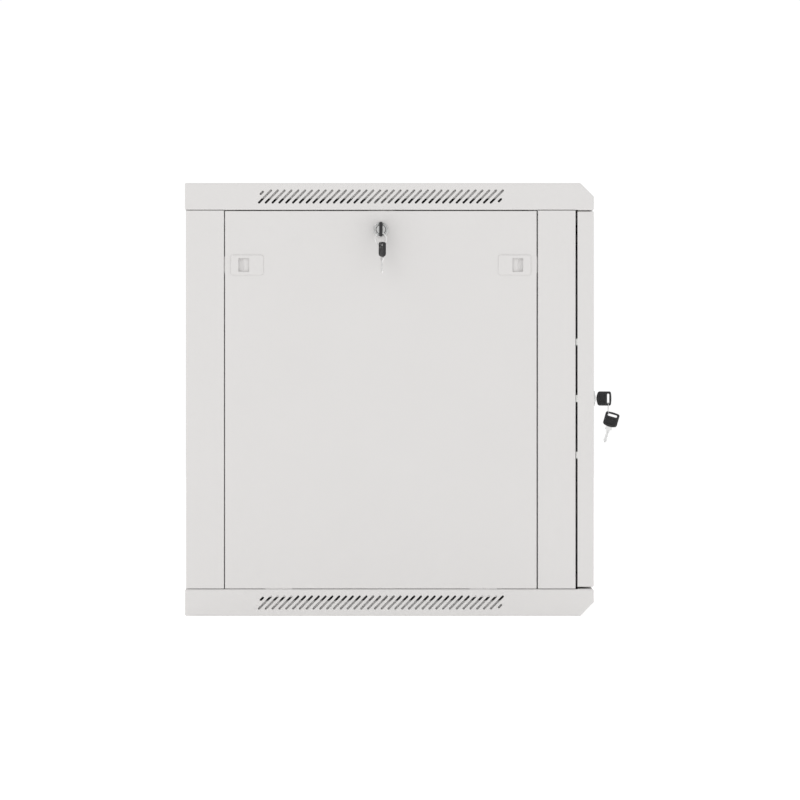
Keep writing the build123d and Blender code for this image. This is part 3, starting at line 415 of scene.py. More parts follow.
@dataclass(frozen=True)
class Moulded:
    """Injection-moulded plastic with a fine spark-eroded texture."""

    name: str
    tone: Colour
    shade: Colour
    gloss: float = 0.45
    grain: float = 0.35 * MM
    grain_rough: float = 0.6
    grain_depth: float = 0.02 * MM
    patch: float = 6 * MM
    gloss_by_grain: float = 0.12
    gloss_by_patch: float = 0.08
    sheen: float = 0.5

    def build(self) -> bpy.types.Material:
        """Make the material."""
        g = Graph(self.name)
        g.set("Specular IOR Level", self.sheen)
        grain = g.noise(self.grain, 2.0, self.grain_rough)
        wear = g.noise(self.patch, 2.0)
        g.set("Base Color", g.mix(wear, self.shade, self.tone))
        spread = self.gloss_by_grain * (grain - 0.5) + self.gloss_by_patch * (wear - 0.5)
        g.set("Roughness", self.gloss + spread)
        g.bump(grain, self.grain_depth)
        return g.material


@dataclass(frozen=True)
class SmokedGlass:
    """Tempered smoked glass: smooth, dark and clear."""

    name: str = "tinted_glass"
    tint: Colour = (0.19, 0.205, 0.215)
    rest: Colour = (0.17, 0.185, 0.195)
    patch: float = 120 * MM
    haze: float = 40 * MM
    gloss: float = 0.01
    gloss_by_haze: float = 0.02
    bending: float = 1.5
    clearness: float = 0.9

    def build(self) -> bpy.types.Material:
        """Make the material."""
        g = Graph(self.name)
        g.set("Base Color", g.mix(g.noise(self.patch, 1.0), self.rest, self.tint))
        g.set("Roughness", self.gloss + self.gloss_by_haze * g.noise(self.haze, 3.0))
        g.set("IOR", self.bending)
        g.set("Transmission Weight", self.clearness)
        return g.material


@dataclass(frozen=True)
class StudioFloor:
    """Seamless pale studio floor that stays bright right up to the cabinet."""

    name: str = "studio_floor"
    tone: Colour = (0.93, 0.93, 0.93)
    light_tone: Colour = (0.94, 0.94, 0.94)
    patch: float = 0.4
    gloss: float = 0.9
    glow: float = 0.34

    def build(self) -> bpy.types.Material:
        """Make the material."""
        g = Graph(self.name)
        g.set("Base Color", g.mix(g.noise(self.patch, 1.0), self.tone, self.light_tone))
        g.set("Roughness", self.gloss)
        g.set("Emission Color", (1.0, 1.0, 1.0))
        g.set("Emission Strength", self.glow)
        return g.material


class Finishes:
    """Every finish of the cabinet, by the record's slot name."""

    def __init__(self) -> None:
        """Build each material once."""
        latch = Moulded("latch_plastic", (0.604, 0.592, 0.584), (0.590, 0.578, 0.570), gloss=0.38)
        bow = Moulded("key_plastic", (0.016, 0.016, 0.017), (0.011, 0.011, 0.012), gloss=0.42, sheen=0.35)
        buffers = Moulded("buffer_plastic", (0.74, 0.74, 0.72), (0.70, 0.70, 0.68), gloss=0.6)
        seal = Moulded("seal_rubber", (0.03, 0.03, 0.03), (0.02, 0.02, 0.02), gloss=0.7)
        nylon = Moulded("nylon", (0.80, 0.79, 0.75), (0.76, 0.75, 0.71), gloss=0.4)
        makers = [
            PowderCoat(),
            ZincSheet(),
            PlatedSteel("zinc_fastener"),
            PlatedSteel("key_steel", gloss=0.2, mark=0.3 * MM),
            PolishedLock(),
            latch,
            bow,
            buffers,
            seal,
            nylon,
            SmokedGlass(),
        ]
        self.by_slot = {maker.name: maker.build() for maker in makers}

    def dress(self, piece: bpy.types.Object, slot: str) -> None:
        """Give a piece one finish.

        Args:
            piece: The object to dress.
            slot: The record's material slot name.
        """
        piece.data.materials.clear()
        piece.data.materials.append(self.by_slot[slot])


@dataclass
class FramePieces:
    """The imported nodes, dressed in their finishes."""

    frame: dict
    finishes: Finishes

    def dress_all(self) -> None:
        """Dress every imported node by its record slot."""
        for entry in self.frame["record"]["subparts"]:
            node = self.frame["nodes"][entry["node"]]
            self.finishes.dress(node, entry["material_slot"])


# Mesh building


@dataclass(frozen=True)
class Pose:
    """A drawing frame in the row frame: its origin and its three unit directions."""

    origin: Vector
    along: Vector
    across: Vector
    out: Vector

    @classmethod
    def of(cls, origin: Vector, along: Vector, out: Vector) -> "Pose":
        """Complete a frame from its origin, first and third direction.

        Args:
            origin: Where the drawing's origin is.
            along: Direction of the drawing's first axis.
            out: Direction of the drawing's third axis.

        Returns:
            The frame.
        """
        return cls(origin, along.normalized(), out.cross(along).normalized(), out.normalized())

    def at(self, u: float, v: float, w: float) -> Vector:
        """Place of a drawing point.

        Args:
            u: Distance along the first axis, in metres.
            v: Distance along the second axis.
            w: Distance along the third axis.

        Returns:
            The point in the row frame.
        """
        return self.origin + u * self.along + v * self.across + w * self.out


class Solid:
    """A mesh under construction, made of closed loops joined into walls and faces."""

    def __init__(self, name: str) -> None:
        """Start an empty mesh.

        Args:
            name: Name of the finished piece.
        """
        self.name = name
        self.mesh = bmesh.new()

    def loop(self, points: list[Vector]) -> Ring:
        """Add a ring of vertices.

        Args:
            points: Places of the vertices in order.

        Returns:
            The new vertices.
        """
        return [self.mesh.verts.new(point) for point in points]

    def ring(self, pose: Pose, radii: list[float], height: float) -> Ring:
        """Add a ring about a frame's third axis, with its vertices at even turns.

        Args:
            pose: The frame.
            radii: Distance of each vertex from the axis.
            height: Distance of the ring along the axis.

        Returns:
            The new vertices.
        """
        points = []
        for i, radius in enumerate(radii):
            angle = 2 * math.pi * i / len(radii)
            points.append(pose.at(radius * math.cos(angle), radius * math.sin(angle), height))
        return self.loop(points)

    def wall(self, first: Ring, second: Ring) -> None:
        """Join two rings of the same length with quads.

        Args:
            first: One ring.
            second: The other ring.
        """
        for i in range(len(first)):
            j = (i + 1) % len(first)
            self.mesh.faces.new((first[i], first[j], second[j], second[i]))

    def walls(self, rings: list[Ring], looped: bool = False) -> None:
        """Join rings one after another.

        Args:
            rings: The rings in order.
            looped: Whether the last ring joins the first again.
        """
        for first, second in zip(rings, rings[1:]):
            self.wall(first, second)
        if looped:
            self.wall(rings[-1], rings[0])

    def cap(self, ring: Ring) -> None:
        """Close a ring with one face.

        Args:
            ring: The ring to close.
        """
        self.mesh.faces.new(ring)

    def plate(self, rings: list[Ring]) -> None:
        """Fill the flat area inside the first ring and outside the others.

        Args:
            rings: Outline first, then the holes.
        """
        edges = []
        for ring in rings:
            for i, vert in enumerate(ring):
                pair = (vert, ring[(i + 1) % len(ring)])
                edges.append(self.mesh.edges.get(pair) or self.mesh.edges.new(pair))
        bmesh.ops.triangle_fill(self.mesh, edges=edges, use_beauty=True)

    def finish(self, slot: str, body: str, finishes: Finishes, node: str) -> bpy.types.Object:
        """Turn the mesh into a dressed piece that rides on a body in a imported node's place.

        Args:
            slot: The record's material slot.
            body: The body that carries the piece.
            finishes: The finishes to dress it with.
            node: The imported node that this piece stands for.

        Returns:
            The piece.
        """
        bmesh.ops.recalc_face_normals(self.mesh, faces=self.mesh.faces)
        data = bpy.data.meshes.new(self.name)
        self.mesh.to_mesh(data)
        self.mesh.free()
        data.shade_smooth()
        data.set_sharp_from_angle(angle=SMOOTH_ANGLE)
        piece = bpy.data.objects.new(self.name, data)
        bpy.context.scene.collection.objects.link(piece)
        finishes.dress(piece, slot)
        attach(piece, body)
        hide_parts(node)
        LOG.info("made %s", self.name)
        return piece


def rounded_outline(half_u: float, half_v: float, radius: float, steps: int = 6) -> Outline:
    """A rounded rectangle about the origin.

    Args:
        half_u: Half its length.
        half_v: Half its width.
        radius: Corner radius.
        steps: Segments in each corner.

    Returns:
        Its points, anticlockwise.
    """
    points = []
    for quarter, (su, sv) in enumerate(((1, 1), (-1, 1), (-1, -1), (1, -1))):
        for i in range(steps + 1):
            angle = math.pi / 2 * (quarter + i / steps)
            u = su * (half_u - radius) + radius * math.cos(angle)
            v = sv * (half_v - radius) + radius * math.sin(angle)
            points.append((u, v))
    return points


def divided(outline: Outline, steps: int) -> Outline:
    """Add points along the sides of an outline that run straight across it.

    Args:
        outline: Points of the outline.
        steps: Parts that each of those sides is divided into.

    Returns:
        The outline with its added points.
    """
    points = []
    for first, second in zip(outline, outline[1:] + outline[:1]):
        points.append(first)
        if abs(first[0] - second[0]) < WELD:
            rise = (second[1] - first[1]) / steps
            points += [(first[0], first[1] + i * rise) for i in range(1, steps)]
    return points


# Keys


@dataclass
class KeyBow:
    """Moulded key head with rounded rims, a sunk grip with ribs on each face and a slot for the ring."""

    length: float = 22 * MM
    half_width: float = 10.5 * MM
    thickness: float = 4.6 * MM
    crown: float = 2.6 * MM
    far_crown: float = 1.0 * MM
    corner: float = 2.2 * MM
    rim: float = 1.1 * MM
    rim_steps: tuple[tuple[float, float], ...] = ((0.0, 1.0), (0.15, 0.55), (0.5, 0.16), (1.0, 0.0))
    slot_middle: float = 17.25 * MM
    slot_half_length: float = 7.2 * MM
    slot_half_width: float = 1.65 * MM
    slot_roundness: float = 0.98
    grip_middle: float = 8.2 * MM
    grip_half_length: float = 4.6 * MM
    grip_half_width: float = 7.4 * MM
    grip_depth: float = 0.55 * MM
    grip_corner: float = 1.6 * MM
    grip_taper: float = 0.93
    ribs: int = 5
    rib_reach: float = 0.82
    rib_foot: float = 0.5 * MM
    rib_foot_round: float = 0.45 * MM
    rib_top: float = 0.28 * MM
    rib_top_round: float = 0.25 * MM
    rib_top_reach: float = 0.79
    rib_below_face: float = 0.12 * MM
    corner_draw: float = 0.6
    corner_steps: int = 8
    end_steps: int = 12

    def outline(self, inset: float) -> Outline:
        """The head's outline, drawn in by a distance.

        Args:
            inset: How far inside the true outline.

        Returns:
            Points of the outline.
        """
        half_u = self.length / 2 - inset
        half_v = self.half_width - inset
        points = []
        corner = self.corner - inset * self.corner_draw
        plain = rounded_outline(half_u, half_v, corner, self.corner_steps)
        for u, v in divided(plain, self.end_steps):
            share = 1 - (v / half_v) ** 2
            low = self.crown * (1 - share) if u < 0 else 0.0
            high = self.far_crown * (1 - share) if u > 0 else 0.0
            points.append((u + self.length / 2 + low - high, v))
        return points

    def build(self, name: str, pose: Pose, body: str, finishes: Finishes, node: str) -> bpy.types.Object:
        """Make one key head.

        Args:
            name: Name of the piece.
            pose: Where the key's drawing frame stands.
            body: The body that carries it.
            finishes: The finishes.
            node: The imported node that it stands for.

        Returns:
            The head.
        """
        solid = Solid(name)
        half = self.thickness / 2
        slot_round = self.slot_half_width * self.slot_roundness
        slot = rounded_outline(self.slot_half_width, self.slot_half_length, slot_round)
        grip = rounded_outline(self.grip_half_length, self.grip_half_width, self.grip_corner)
        before = None
        slot_before = None
        for side in (-1, 1):
            rings = []
            for inset, drop in self.rim_steps:
                outline = self.outline(inset * self.rim)
                rings.append(solid.loop([pose.at(u, v, side * (half - drop * self.rim)) for u, v in outline]))
            solid.walls(rings)
            if before:
                solid.wall(before, rings[0])
            before = rings[0]
            hole = solid.loop([pose.at(self.slot_middle + u, v, side * half) for u, v in slot])
            if slot_before:
                solid.wall(slot_before, hole)
            slot_before = hole
            mouth = solid.loop([pose.at(self.grip_middle + u, v, side * half) for u, v in grip])
            floor_w = side * (half - self.grip_depth)
            taper = self.grip_taper
            floor = solid.loop([pose.at(self.grip_middle + taper * u, taper * v, floor_w) for u, v in grip])
            solid.wall(mouth, floor)
            solid.cap(floor)
            solid.plate([rings[-1], hole, mouth])
            self.add_ribs(solid, pose, side)
        return solid.finish("key_plastic", body, finishes, node)

    def add_ribs(self, solid: Solid, pose: Pose, side: int) -> None:
        """Raise the grip's ribs on one face.

        Args:
            solid: The head's mesh.
            pose: The key's drawing frame.
            side: Which face, -1 or 1.
        """
        half = self.thickness / 2
        pitch = 2 * self.rib_reach * self.grip_half_length / (self.ribs - 1)
        foot_reach = self.rib_reach * self.grip_half_width
        foot = rounded_outline(self.rib_foot, foot_reach, self.rib_foot_round, 3)
        top_reach = self.rib_top_reach * self.grip_half_width
        top = rounded_outline(self.rib_top, top_reach, self.rib_top_round, 3)
        for i in range(self.ribs):
            u = self.grip_middle + (i - (self.ribs - 1) / 2) * pitch
            low = solid.loop([pose.at(u + du, v, side * (half - self.grip_depth)) for du, v in foot])
            high = solid.loop([pose.at(u + du, v, side * (half - self.rib_below_face)) for du, v in top])
            solid.wall(low, high)
            solid.cap(high)


@dataclass
class KeyBlade:
    """Flat cut key blade with a collar, a groove on each face and bitting along both edges."""

    length: float = 24 * MM
    half_width: float = 2.6 * MM
    thickness: float = 2.0 * MM
    collar_length: float = 4.5 * MM
    collar_half: float = 4.6 * MM
    root: float = 0.9 * MM
    tip: float = 3.2 * MM
    chamfer: float = 0.2 * MM
    groove_half: float = 0.55 * MM
    groove_depth: float = 0.42 * MM
    first_cut: float = 7.5 * MM
    cut_pitch: float = 2.9 * MM
    cut_depths: tuple[float, ...] = (0.5 * MM, 1.2 * MM, 0.8 * MM, 1.4 * MM, 0.6 * MM)
    cut_flat: float = 0.5 * MM
    tip_slope: float = 0.55
    turned_tip_slope: float = 0.8
    tip_half: float = 0.35 * MM
    groove_taper: float = 0.6
    steps: int = 120
    collar_step: float = 0.02 * MM

    def edge(self, distance: float, turned: bool) -> float:
        """Half width of the blade at a distance from the bow.

        Args:
            distance: Distance from the bow, towards the tip.
            turned: True for the second edge, whose cuts run in the other order.

        Returns:
            The half width there.
        """
        if distance < self.collar_length:
            return self.collar_half
        depths = self.cut_depths[::-1] if turned else self.cut_depths
        half = self.half_width
        for i, depth in enumerate(depths):
            away = abs(distance - self.first_cut - i * self.cut_pitch)
            half = min(half, self.half_width - depth + max(0.0, away - self.cut_flat))
        past = distance - (self.length - self.tip)
        if past > 0:
            slope = self.turned_tip_slope if turned else self.tip_slope
            half = min(half, self.half_width - slope * past)
        return max(half, self.tip_half)

    def section(self, high: float, low: float, grooved: bool) -> Outline:
        """Cross-section of the blade, round from one edge.

        Args:
            high: Half width on the first edge.
            low: Half width on the second edge.
            grooved: Whether the grooves are cut at this place.

        Returns:
            Points across the width and thickness.
        """
        half = self.thickness / 2
        deep = self.groove_depth if grooved else 0.0
        mouth = min(self.groove_half, self.groove_taper * high, self.groove_taper * low)
        bottom = self.groove_taper * mouth
        c = self.chamfer
        groove = [(mouth, half), (bottom, half - deep), (-bottom, half - deep), (-mouth, half)]
        top = [(high - c, half), *groove, (-low + c, half)]
        under = [(v, -w) for v, w in reversed(top)]
        return [(high, half - c), *top, (-low, half - c), (-low, c - half), *under, (high, c - half)]

    def build(self, name: str, pose: Pose, body: str, finishes: Finishes, node: str) -> bpy.types.Object:
        """Make one blade.

        Args:
            name: Name of the piece.
            pose: Where the key's drawing frame stands.
            body: The body that carries it.
            finishes: The finishes.
            node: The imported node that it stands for.

        Returns:
            The blade.
        """
        solid = Solid(name)
        reach = self.length - self.root
        stops = [self.root + reach * i / self.steps for i in range(self.steps + 1)]
        stops += [self.collar_length - self.collar_step, self.collar_length + self.collar_step]
        rings = []
        for stop in sorted(stops):
            grooved = stop > self.collar_length + 0.5 * MM
            shape = self.section(self.edge(stop, False), self.edge(stop, True), grooved)
            rings.append(solid.loop([pose.at(-stop, v, w) for v, w in shape]))
        root_shape = self.section(self.half_width, self.half_width, False)
        inner = solid.loop([pose.at(self.root, v, w) for v, w in root_shape])
        solid.wall(inner, rings[0])
        solid.walls(rings)
        solid.cap(inner)
        solid.cap(rings[-1])
        return solid.finish("key_steel", body, finishes, node)


@dataclass
class SplitRing:
    """Ring of flattened spring wire, wound twice, with its two ends showing."""

    radius: float = 8.85 * MM
    half_height: float = 0.60 * MM
    wire_half_height: float = 0.29 * MM
    wire_half_width: float = 0.55 * MM
    turns: float = 1.96
    steps: int = 220
    sides: int = 12

    def build(self, name: str, pose: Pose, body: str, finishes: Finishes, node: str) -> bpy.types.Object:
        """Make one ring.

        Args:
            name: Name of the piece.
            pose: Frame whose origin is the ring's middle and whose third axis is the ring's axis.
            body: The body that carries it.
            finishes: The finishes.
            node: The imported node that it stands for.

        Returns:
            The ring.
        """
        solid = Solid(name)
        rings = []
        for i in range(self.steps + 1):
            share = i / self.steps
            turn = 2 * math.pi * self.turns * share
            lift = (2 * share - 1) * (self.half_height - self.wire_half_height)
            points = []
            for k in range(self.sides):
                a = 2 * math.pi * k / self.sides
                r = self.radius + self.wire_half_width * math.cos(a)
                w = lift + self.wire_half_height * math.sin(a)
                points.append(pose.at(r * math.cos(turn), r * math.sin(turn), w))
            rings.append(solid.loop(points))
        solid.walls(rings)
        solid.cap(rings[0])
        solid.cap(rings[-1])
        return solid.finish("key_steel", body, finishes, node)


@dataclass
class KeySet:
    """One lock's key, split ring and spare key, each hanging from the next."""

    frame: dict
    finishes: Finishes
    prefix: str
    lock_joint: str
    ring_joint: str
    spare_joint: str
    heading: float
    key_apex: float = 5.0 * MM
    slot_middle: float = 17.25 * MM
    slot_hold: float = 6.4 * MM
    spare_tilt: float = math.radians(16)

    def joint(self, name: str) -> dict:
        """The record's joint of a given name.

        Args:
            name: The joint's name.

        Returns:
            Its record entry.
        """
        joints = self.frame["record"]["behaviour"]["joints"]
        return next(joint for joint in joints if joint["name"] == name)

    def build(self) -> None:
        """Make the key's head, the ring, and the spare key's head and blade."""
        lock = self.joint(self.lock_joint)
        ring = self.joint(self.ring_joint)
        spare = self.joint(self.spare_joint)
        outward = Vector((math.sin(self.heading), -math.cos(self.heading), 0))
        sideways = Vector((-math.cos(self.heading), -math.sin(self.heading), 0))
        key_pose = Pose.of(Vector(lock["pos_m"]) + self.key_apex * outward, outward, sideways)
        node = f"{self.prefix}_key_bow"
        KeyBow().build(f"{self.prefix}_key_head", key_pose, lock["child"], self.finishes, node)
        node = f"{self.prefix}_key_ring"
        low, high = (Vector(corner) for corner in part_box(node))
        ring_axis = Vector(ring["axis"])
        ring_pose = Pose.of((low + high) / 2, Vector((0, 0, 1)), ring_axis)
        SplitRing().build(f"{self.prefix}_split_ring", ring_pose, ring["child"], self.finishes, node)
        thick = Vector(spare["axis"])
        tilt = math.pi / 2 + self.spare_tilt
        along = math.cos(tilt) * ring_axis + math.sin(tilt) * Vector((0, 0, 1))
        hang = Pose.of(Vector(spare["pos_m"]), along, thick)
        spare_pose = Pose.of(hang.at(-self.slot_middle, self.slot_hold, 0), along, thick)
        body = spare["child"]
        node = f"{self.prefix}_spare_bow"
        KeyBow().build(f"{self.prefix}_spare_head", spare_pose, body, self.finishes, node)
        node = f"{self.prefix}_spare_blade"
        KeyBlade().build(f"{self.prefix}_spare_cut_blade", spare_pose, body, self.finishes, node)


# Lock faces


@dataclass
class LockCase:
    """Turned lock case: a rounded face with a sunk groove about the plug, a barrel and its bore."""

    barrel: float
    nut_behind: float = 0.0
    bore: float = 6.55 * MM
    barrel_radius: float = 9.0 * MM
    nut_radius: float = 12.5 * MM
    nut_height: float = 4.0 * MM
    segments: int = 96
    face: tuple[tuple[float, float], ...] = (
        (11.5, 0.0),
        (11.5, 1.4),
        (11.41, 1.86),
        (11.15, 2.25),
        (10.76, 2.51),
        (10.3, 2.6),
        (9.75, 2.6),
        (9.6, 2.3),
        (8.9, 2.22),
        (8.75, 2.5),
        (8.6, 2.6),
        (7.1, 2.6),
        (6.8, 2.5),
        (6.55, 2.2),
    )

    def add_nut(self, solid: Solid, pose: Pose) -> None:
        """Add the hexagon nut behind the sheet.

        Args:
            solid: The case's mesh.
            pose: Frame on the sheet's outer skin, whose third axis points outward.
        """
        outer = hexagon_radii(self.nut_radius, self.segments)
        inner = [self.barrel_radius] * self.segments
        front = -self.nut_behind
        back = front - self.nut_height
        steps = ((inner, front), (outer, front), (outer, back), (inner, back))
        solid.walls([solid.ring(pose, radii, height) for radii, height in steps])

    def build(self, name: str, pose: Pose, body: str, finishes: Finishes, node: str) -> bpy.types.Object:
        """Make one lock case.

        Args:
            name: Name of the piece.
            pose: Frame on the sheet's outer skin, whose third axis points outward.
            body: The body that carries the piece.
            finishes: The finishes.
            node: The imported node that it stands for.

        Returns:
            The case.
        """
        solid = Solid(name)
        profile = [(self.bore, -self.barrel), (self.barrel_radius - BEVEL, -self.barrel)]
        profile += [(self.barrel_radius, BEVEL - self.barrel), (self.barrel_radius, 0.0)]
        profile += [(radius * MM, height * MM) for radius, height in self.face]
        rings = [solid.ring(pose, [radius] * self.segments, height) for radius, height in profile]
        solid.walls(rings, looped=True)
        if self.nut_behind:
            self.add_nut(solid, pose)
        return solid.finish("lock_chrome", body, finishes, node)


def add_lock_cases(finishes: Finishes) -> None:
    """Put turned cases in the places of the three packed lock bodies.

    Args:
        finishes: The finishes.
    """
    door_case = LockCase(barrel=29.5 * MM)
    panel_case = LockCase(barrel=15.8 * MM, nut_behind=1.0 * MM)
    places = (
        ("door_lock_body", "front_door", Vector((0, -1, 0)), door_case),
        ("side_lock_body_left", "left_side_panel", Vector((-1, 0, 0)), panel_case),
        ("side_lock_body_right", "right_side_panel", Vector((1, 0, 0)), panel_case),
    )
    for node, body, out, case in places:
        low, high = (Vector(corner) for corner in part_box(node))
        middle = (low + high) / 2
        proud = max(height for _, height in case.face) * MM
        reach = abs((high - low).dot(out)) / 2 - proud
        pose = Pose.of(middle + reach * out, Vector((0, 0, 1)), out)
        case.build(f"{node}_case", pose, body, finishes, node)


# Fasteners


def hexagon_radii(corner: float, segments: int) -> list[float]:
    """Distances from the middle to a hexagon's edge, at even turns.

    Args:
        corner: Distance to its corners.
        segments: Number of turns, a multiple of six.

    Returns:
        The distances.
    """
    third = math.pi / 3
    flat = corner * math.cos(third / 2)
    turns = [2 * math.pi * i / segments for i in range(segments)]
    return [flat / math.cos(turn % third - third / 2) for turn in turns]


def cross_outline(reach: float, half_width: float) -> Outline:
    """Outline of a cross about the origin.

    Args:
        reach: Length of each arm from the middle.
        half_width: Half the width of each arm.

    Returns:
        Its twelve points, anticlockwise.
    """
    points = []
    for u, v in ((reach, -half_width), (reach, half_width), (half_width, half_width)):
        points.append((u, v))
    for _ in range(3):
        points += [(-v, u) for u, v in points[-3:]]
    return points


@dataclass
class PanHead:
    """Domed cross-recess screw head on a round shank."""

    radius: float = 4.8 * MM
    height: float = 3.0 * MM
    shank_radius: float = 2.45 * MM
    recess_half: float = 2.6 * MM
    recess_width: float = 0.55 * MM
    recess_depth: float = 1.7 * MM
    recess_reach_taper: float = 0.45
    recess_width_taper: float = 0.8
    dome: tuple[tuple[float, float], ...] = (
        (1.0, 0.0),
        (1.0, 0.30),
        (0.93, 0.62),
        (0.80, 0.84),
        (0.66, 0.95),
    )
    segments: int = 32

    def add(self, solid: Solid, pose: Pose, shank: float) -> None:
        """Add one screw to a mesh.

        Args:
            solid: The mesh to add to.
            pose: Frame under the head, whose third axis points out of the head.
            shank: Length of the shank behind the head.
        """
        steps = [(self.shank_radius - BEVEL, -shank), (self.shank_radius, BEVEL - shank)]
        steps.append((self.shank_radius, 0.0))
        steps += [(r * self.radius, h * self.height) for r, h in self.dome]
        rings = [solid.ring(pose, [radius] * self.segments, height) for radius, height in steps]
        solid.walls(rings)
        solid.cap(rings[0])
        top = steps[-1][1]
        cross = cross_outline(self.recess_half, self.recess_width)
        mouth = solid.loop([pose.at(u, v, top) for u, v in cross])
        solid.plate([rings[-1], mouth])
        tapered = cross_outline(
            self.recess_reach_taper * self.recess_half,
            self.recess_width_taper * self.recess_width,
        )
        floor = solid.loop([pose.at(u, v, top - self.recess_depth) for u, v in tapered])
        solid.wall(mouth, floor)
        solid.cap(floor)


@dataclass
class HexHead:
    """Hexagon bolt head with a chamfered crown on a round shank."""

    radius: float = 5.5 * MM
    height: float = 3.5 * MM
    shank_radius: float = 3.0 * MM
    shank_tip: float = 2.6 * MM
    shank_bevel: float = 0.5 * MM
    chamfer: float = 0.35 * MM
    crown: float = 0.87
    segments: int = 48

    def add(self, solid: Solid, pose: Pose, shank: float) -> None:
        """Add one bolt to a mesh.

        Args:
            solid: The mesh to add to.
            pose: Frame under the head, whose third axis points out of the head.
            shank: Length of the shank behind the head.
        """
        steps = (
            (self.shank_tip, -shank),
            (self.shank_radius, self.shank_bevel - shank),
            (self.shank_radius, 0.0),
        )
        rings = [solid.ring(pose, [radius] * self.segments, height) for radius, height in steps]
        edge = hexagon_radii(self.radius, self.segments)
        rings.append(solid.ring(pose, edge, 0.0))
        rings.append(solid.ring(pose, edge, self.height - self.chamfer))
        rings.append(solid.ring(pose, [self.crown * self.radius] * self.segments, self.height))
        solid.walls(rings)
        solid.cap(rings[0])
        solid.cap(rings[-1])


@dataclass
class Fasteners:
    """Screw and bolt heads of proper shape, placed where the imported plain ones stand."""

    frame: dict
    finishes: Finishes
    middle_height: float
    nut_limit: float = 5.5 * MM
    nut_radius: float = 5.8 * MM
    nut_bore: float = 3.02 * MM
    nut_brim: float = 0.5 * MM
    nut_bevel: float = 0.3 * MM
    nut_segments: int = 48

    def islands(self, node: str) -> list[tuple[Vector, Vector]]:
        """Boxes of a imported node's separate pieces.

        Args:
            node: Name of the node.

        Returns:
            Lowest and highest corner of each piece.
        """
        mesh = bmesh.new()
        mesh.from_mesh(self.frame["nodes"][node].data)
        bmesh.ops.remove_doubles(mesh, verts=mesh.verts, dist=WELD)
        left = set(mesh.verts)
        boxes = []
        while left:
            stack = [left.pop()]
            found = []
            while stack:
                vert = stack.pop()
                found.append(vert.co.copy())
                for edge in vert.link_edges:
                    other = edge.other_vert(vert)
                    if other in left:
                        left.remove(other)
                        stack.append(other)
            low = Vector([min(co[k] for co in found) for k in range(3)])
            high = Vector([max(co[k] for co in found) for k in range(3)])
            boxes.append((low, high))
        mesh.free()
        return boxes

    def inward(self, low: Vector, high: Vector) -> Vector:
        """Direction from a fastener's tip to its head, which is always inside the cabinet.

        Args:
            low: Lowest corner of the fastener.
            high: Highest corner.

        Returns:
            A unit vector along one axis.
        """
        size = high - low
        spread = [abs(size[(k + 1) % 3] - size[(k + 2) % 3]) for k in range(3)]
        axis = spread.index(min(spread))
        middle = (low + high) / 2 - Vector((0, 0, self.middle_height))
        out = Vector((0, 0, 0))
        out[axis] = -1.0 if middle[axis] > 0 else 1.0
        return out

    def replace(self, node: str, name: str, head: "PanHead | HexHead", nuts: bool = False) -> None:
        """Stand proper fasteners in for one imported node.

        Args:
            node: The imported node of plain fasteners.
            name: Name of the new piece.
            head: The kind of head.
            nuts: Whether the node holds short hexagon nuts as well.
        """
        bodies = self.frame["record"]["behaviour"]["bodies"]
        body = next(name for name, nodes in bodies.items() if node in nodes)
        solid = Solid(name)
        for low, high in self.islands(node):
            out = self.inward(low, high)
            length = abs((high - low).dot(out))
            if nuts and length < self.nut_limit:
                self.add_nut(solid, (low + high) / 2, out, length)
                continue
            middle = (low + high) / 2
            under = middle + out * (length / 2 - head.height)
            pose = Pose.of(under, out.orthogonal(), out)
            head.add(solid, pose, length - head.height)
        solid.finish("zinc_fastener", body, self.finishes, node)

    def add_nut(self, solid: Solid, middle: Vector, out: Vector, length: float) -> None:
        """Add a hexagon nut.

        Args:
            solid: The mesh to add to.
            middle: The nut's middle.
            out: Its axis.
            length: Its height.
        """
        pose = Pose.of(middle, out.orthogonal(), out)
        half = length / 2
        edge = hexagon_radii(self.nut_radius, self.nut_segments)
        brim = hexagon_radii(self.nut_radius - self.nut_brim, self.nut_segments)
        bore = [self.nut_bore] * self.nut_segments
        bevel = half - self.nut_bevel
        steps = ((brim, -half), (edge, -bevel), (edge, bevel), (brim, half), (bore, half), (bore, -half))
        solid.walls([solid.ring(pose, radii, height) for radii, height in steps], looped=True)

    def build(self) -> None:
        """Replace the frame's, covers' and rack rails' fasteners."""
        self.replace("frame_screws", "frame_screw_set", PanHead())
        self.replace("cover_screws", "cover_screw_set", PanHead())
        for end in ("front", "rear"):
            for side in ("left", "right"):
                node = f"rack_bolts_{end}_{side}"
                self.replace(node, f"{end}_{side}_rail_bolts", HexHead(), nuts=True)


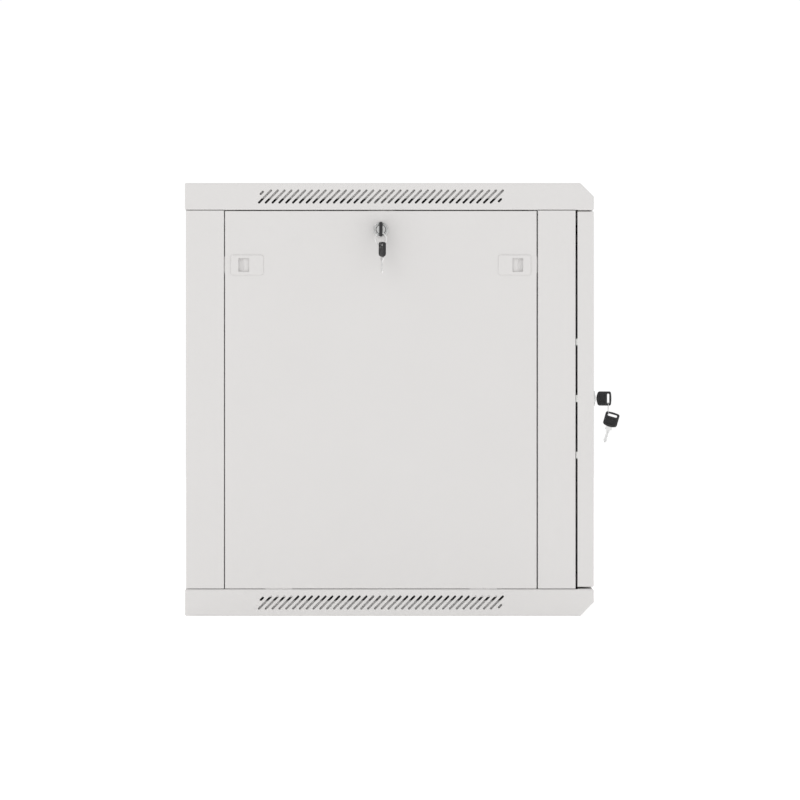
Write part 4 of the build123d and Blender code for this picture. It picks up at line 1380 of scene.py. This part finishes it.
@dataclass
class Studio:
    """Plain pale floor, soft lights and the side-on camera."""

    target: Vector = field(default_factory=lambda: Vector((-0.3, -0.0155, 0.3168)))
    distance: float = 8.0
    view_width: float = 1.17328
    sensor: float = 36.0
    floor_half: float = 14.0
    world: float = 1.02

    def build_floor(self) -> bpy.types.Object:
        """Make the floor as a wide flat square sheet.

        Returns:
            The floor object.
        """
        mesh = bpy.data.meshes.new("floor")
        half = self.floor_half
        corners = [(-half, -half, 0), (half, -half, 0), (half, half, 0), (-half, half, 0)]
        mesh.from_pydata(corners, [], [(0, 1, 2, 3)])
        floor = bpy.data.objects.new("floor", mesh)
        bpy.context.scene.collection.objects.link(floor)
        mesh.materials.append(StudioFloor().build())
        floor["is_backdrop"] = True
        return floor

    def light(self, name: str, place: Vector, size: float, power: float) -> None:
        """Add one soft square light aimed at the cabinet's middle.

        Args:
            name: The light's name.
            place: Where it stands.
            size: Side of the square, in metres.
            power: Its power in watts.
        """
        data = bpy.data.lights.new(name, "AREA")
        data.shape = "SQUARE"
        data.size = size
        data.energy = power
        lamp = bpy.data.objects.new(name, data)
        lamp.location = place
        aim = Vector((0, 0, 0.3)) - place
        lamp.rotation_euler = aim.to_track_quat("-Z", "Y").to_euler()
        bpy.context.scene.collection.objects.link(lamp)

    def build_lights(self) -> None:
        """Add the key, fill and front lights and the even surround."""
        self.light("key_light", Vector((-3.2, 2.0, 3.0)), 1.2, 10)
        self.light("fill_light", Vector((-3.4, -2.6, 1.6)), 3.0, 4)
        self.light("front_light", Vector((1.5, -4.0, 2.4)), 2.5, 16)
        self.light("back_light", Vector((2.5, 3.0, 2.8)), 2.5, 14)
        world = bpy.data.worlds.new("surround")
        world.use_nodes = True
        background = next(n for n in world.node_tree.nodes if n.type == "BACKGROUND")
        background.inputs["Color"].default_value = (1.0, 1.0, 1.0, 1.0)
        background.inputs["Strength"].default_value = self.world
        bpy.context.scene.world = world

    def build_camera(self) -> None:
        """Stand the camera square to the left side, far off with a long lens."""
        data = bpy.data.cameras.new("camera")
        data.sensor_width = self.sensor
        data.lens = self.sensor * self.distance / self.view_width
        data.clip_end = 60
        camera = bpy.data.objects.new("camera", data)
        camera.location = self.target - Vector((self.distance, 0, 0))
        camera.rotation_euler = (math.pi / 2, 0, -math.pi / 2)
        bpy.context.scene.collection.objects.link(camera)
        bpy.context.scene.camera = camera

    def build(self) -> None:
        """Build the whole studio."""
        self.build_floor()
        self.build_lights()
        self.build_camera()
        bpy.context.scene.view_settings.view_transform = "Standard"
        LOG.info("built the studio")


def main() -> None:
    """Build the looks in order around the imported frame."""
    logging.basicConfig(level=logging.INFO, format="%(name)s: %(message)s")
    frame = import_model()
    cad_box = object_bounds()
    finishes = Finishes()
    FramePieces(frame, finishes).dress_all()
    KeySet(frame, finishes, "door", "door_lock_turn", "door_ring_swing", "door_spare_key_swing", 0.0).build()
    left = ("left_lock_turn", "left_ring_swing", "left_spare_key_swing")
    KeySet(frame, finishes, "side", *left, -math.pi / 2, spare_tilt=math.radians(2)).build()
    add_lock_cases(finishes)
    middle_height = (cad_box[0][2] + cad_box[1][2]) / 2
    Fasteners(frame, finishes, middle_height).build()
    Studio().build()


if __name__ == "__main__":
    main()
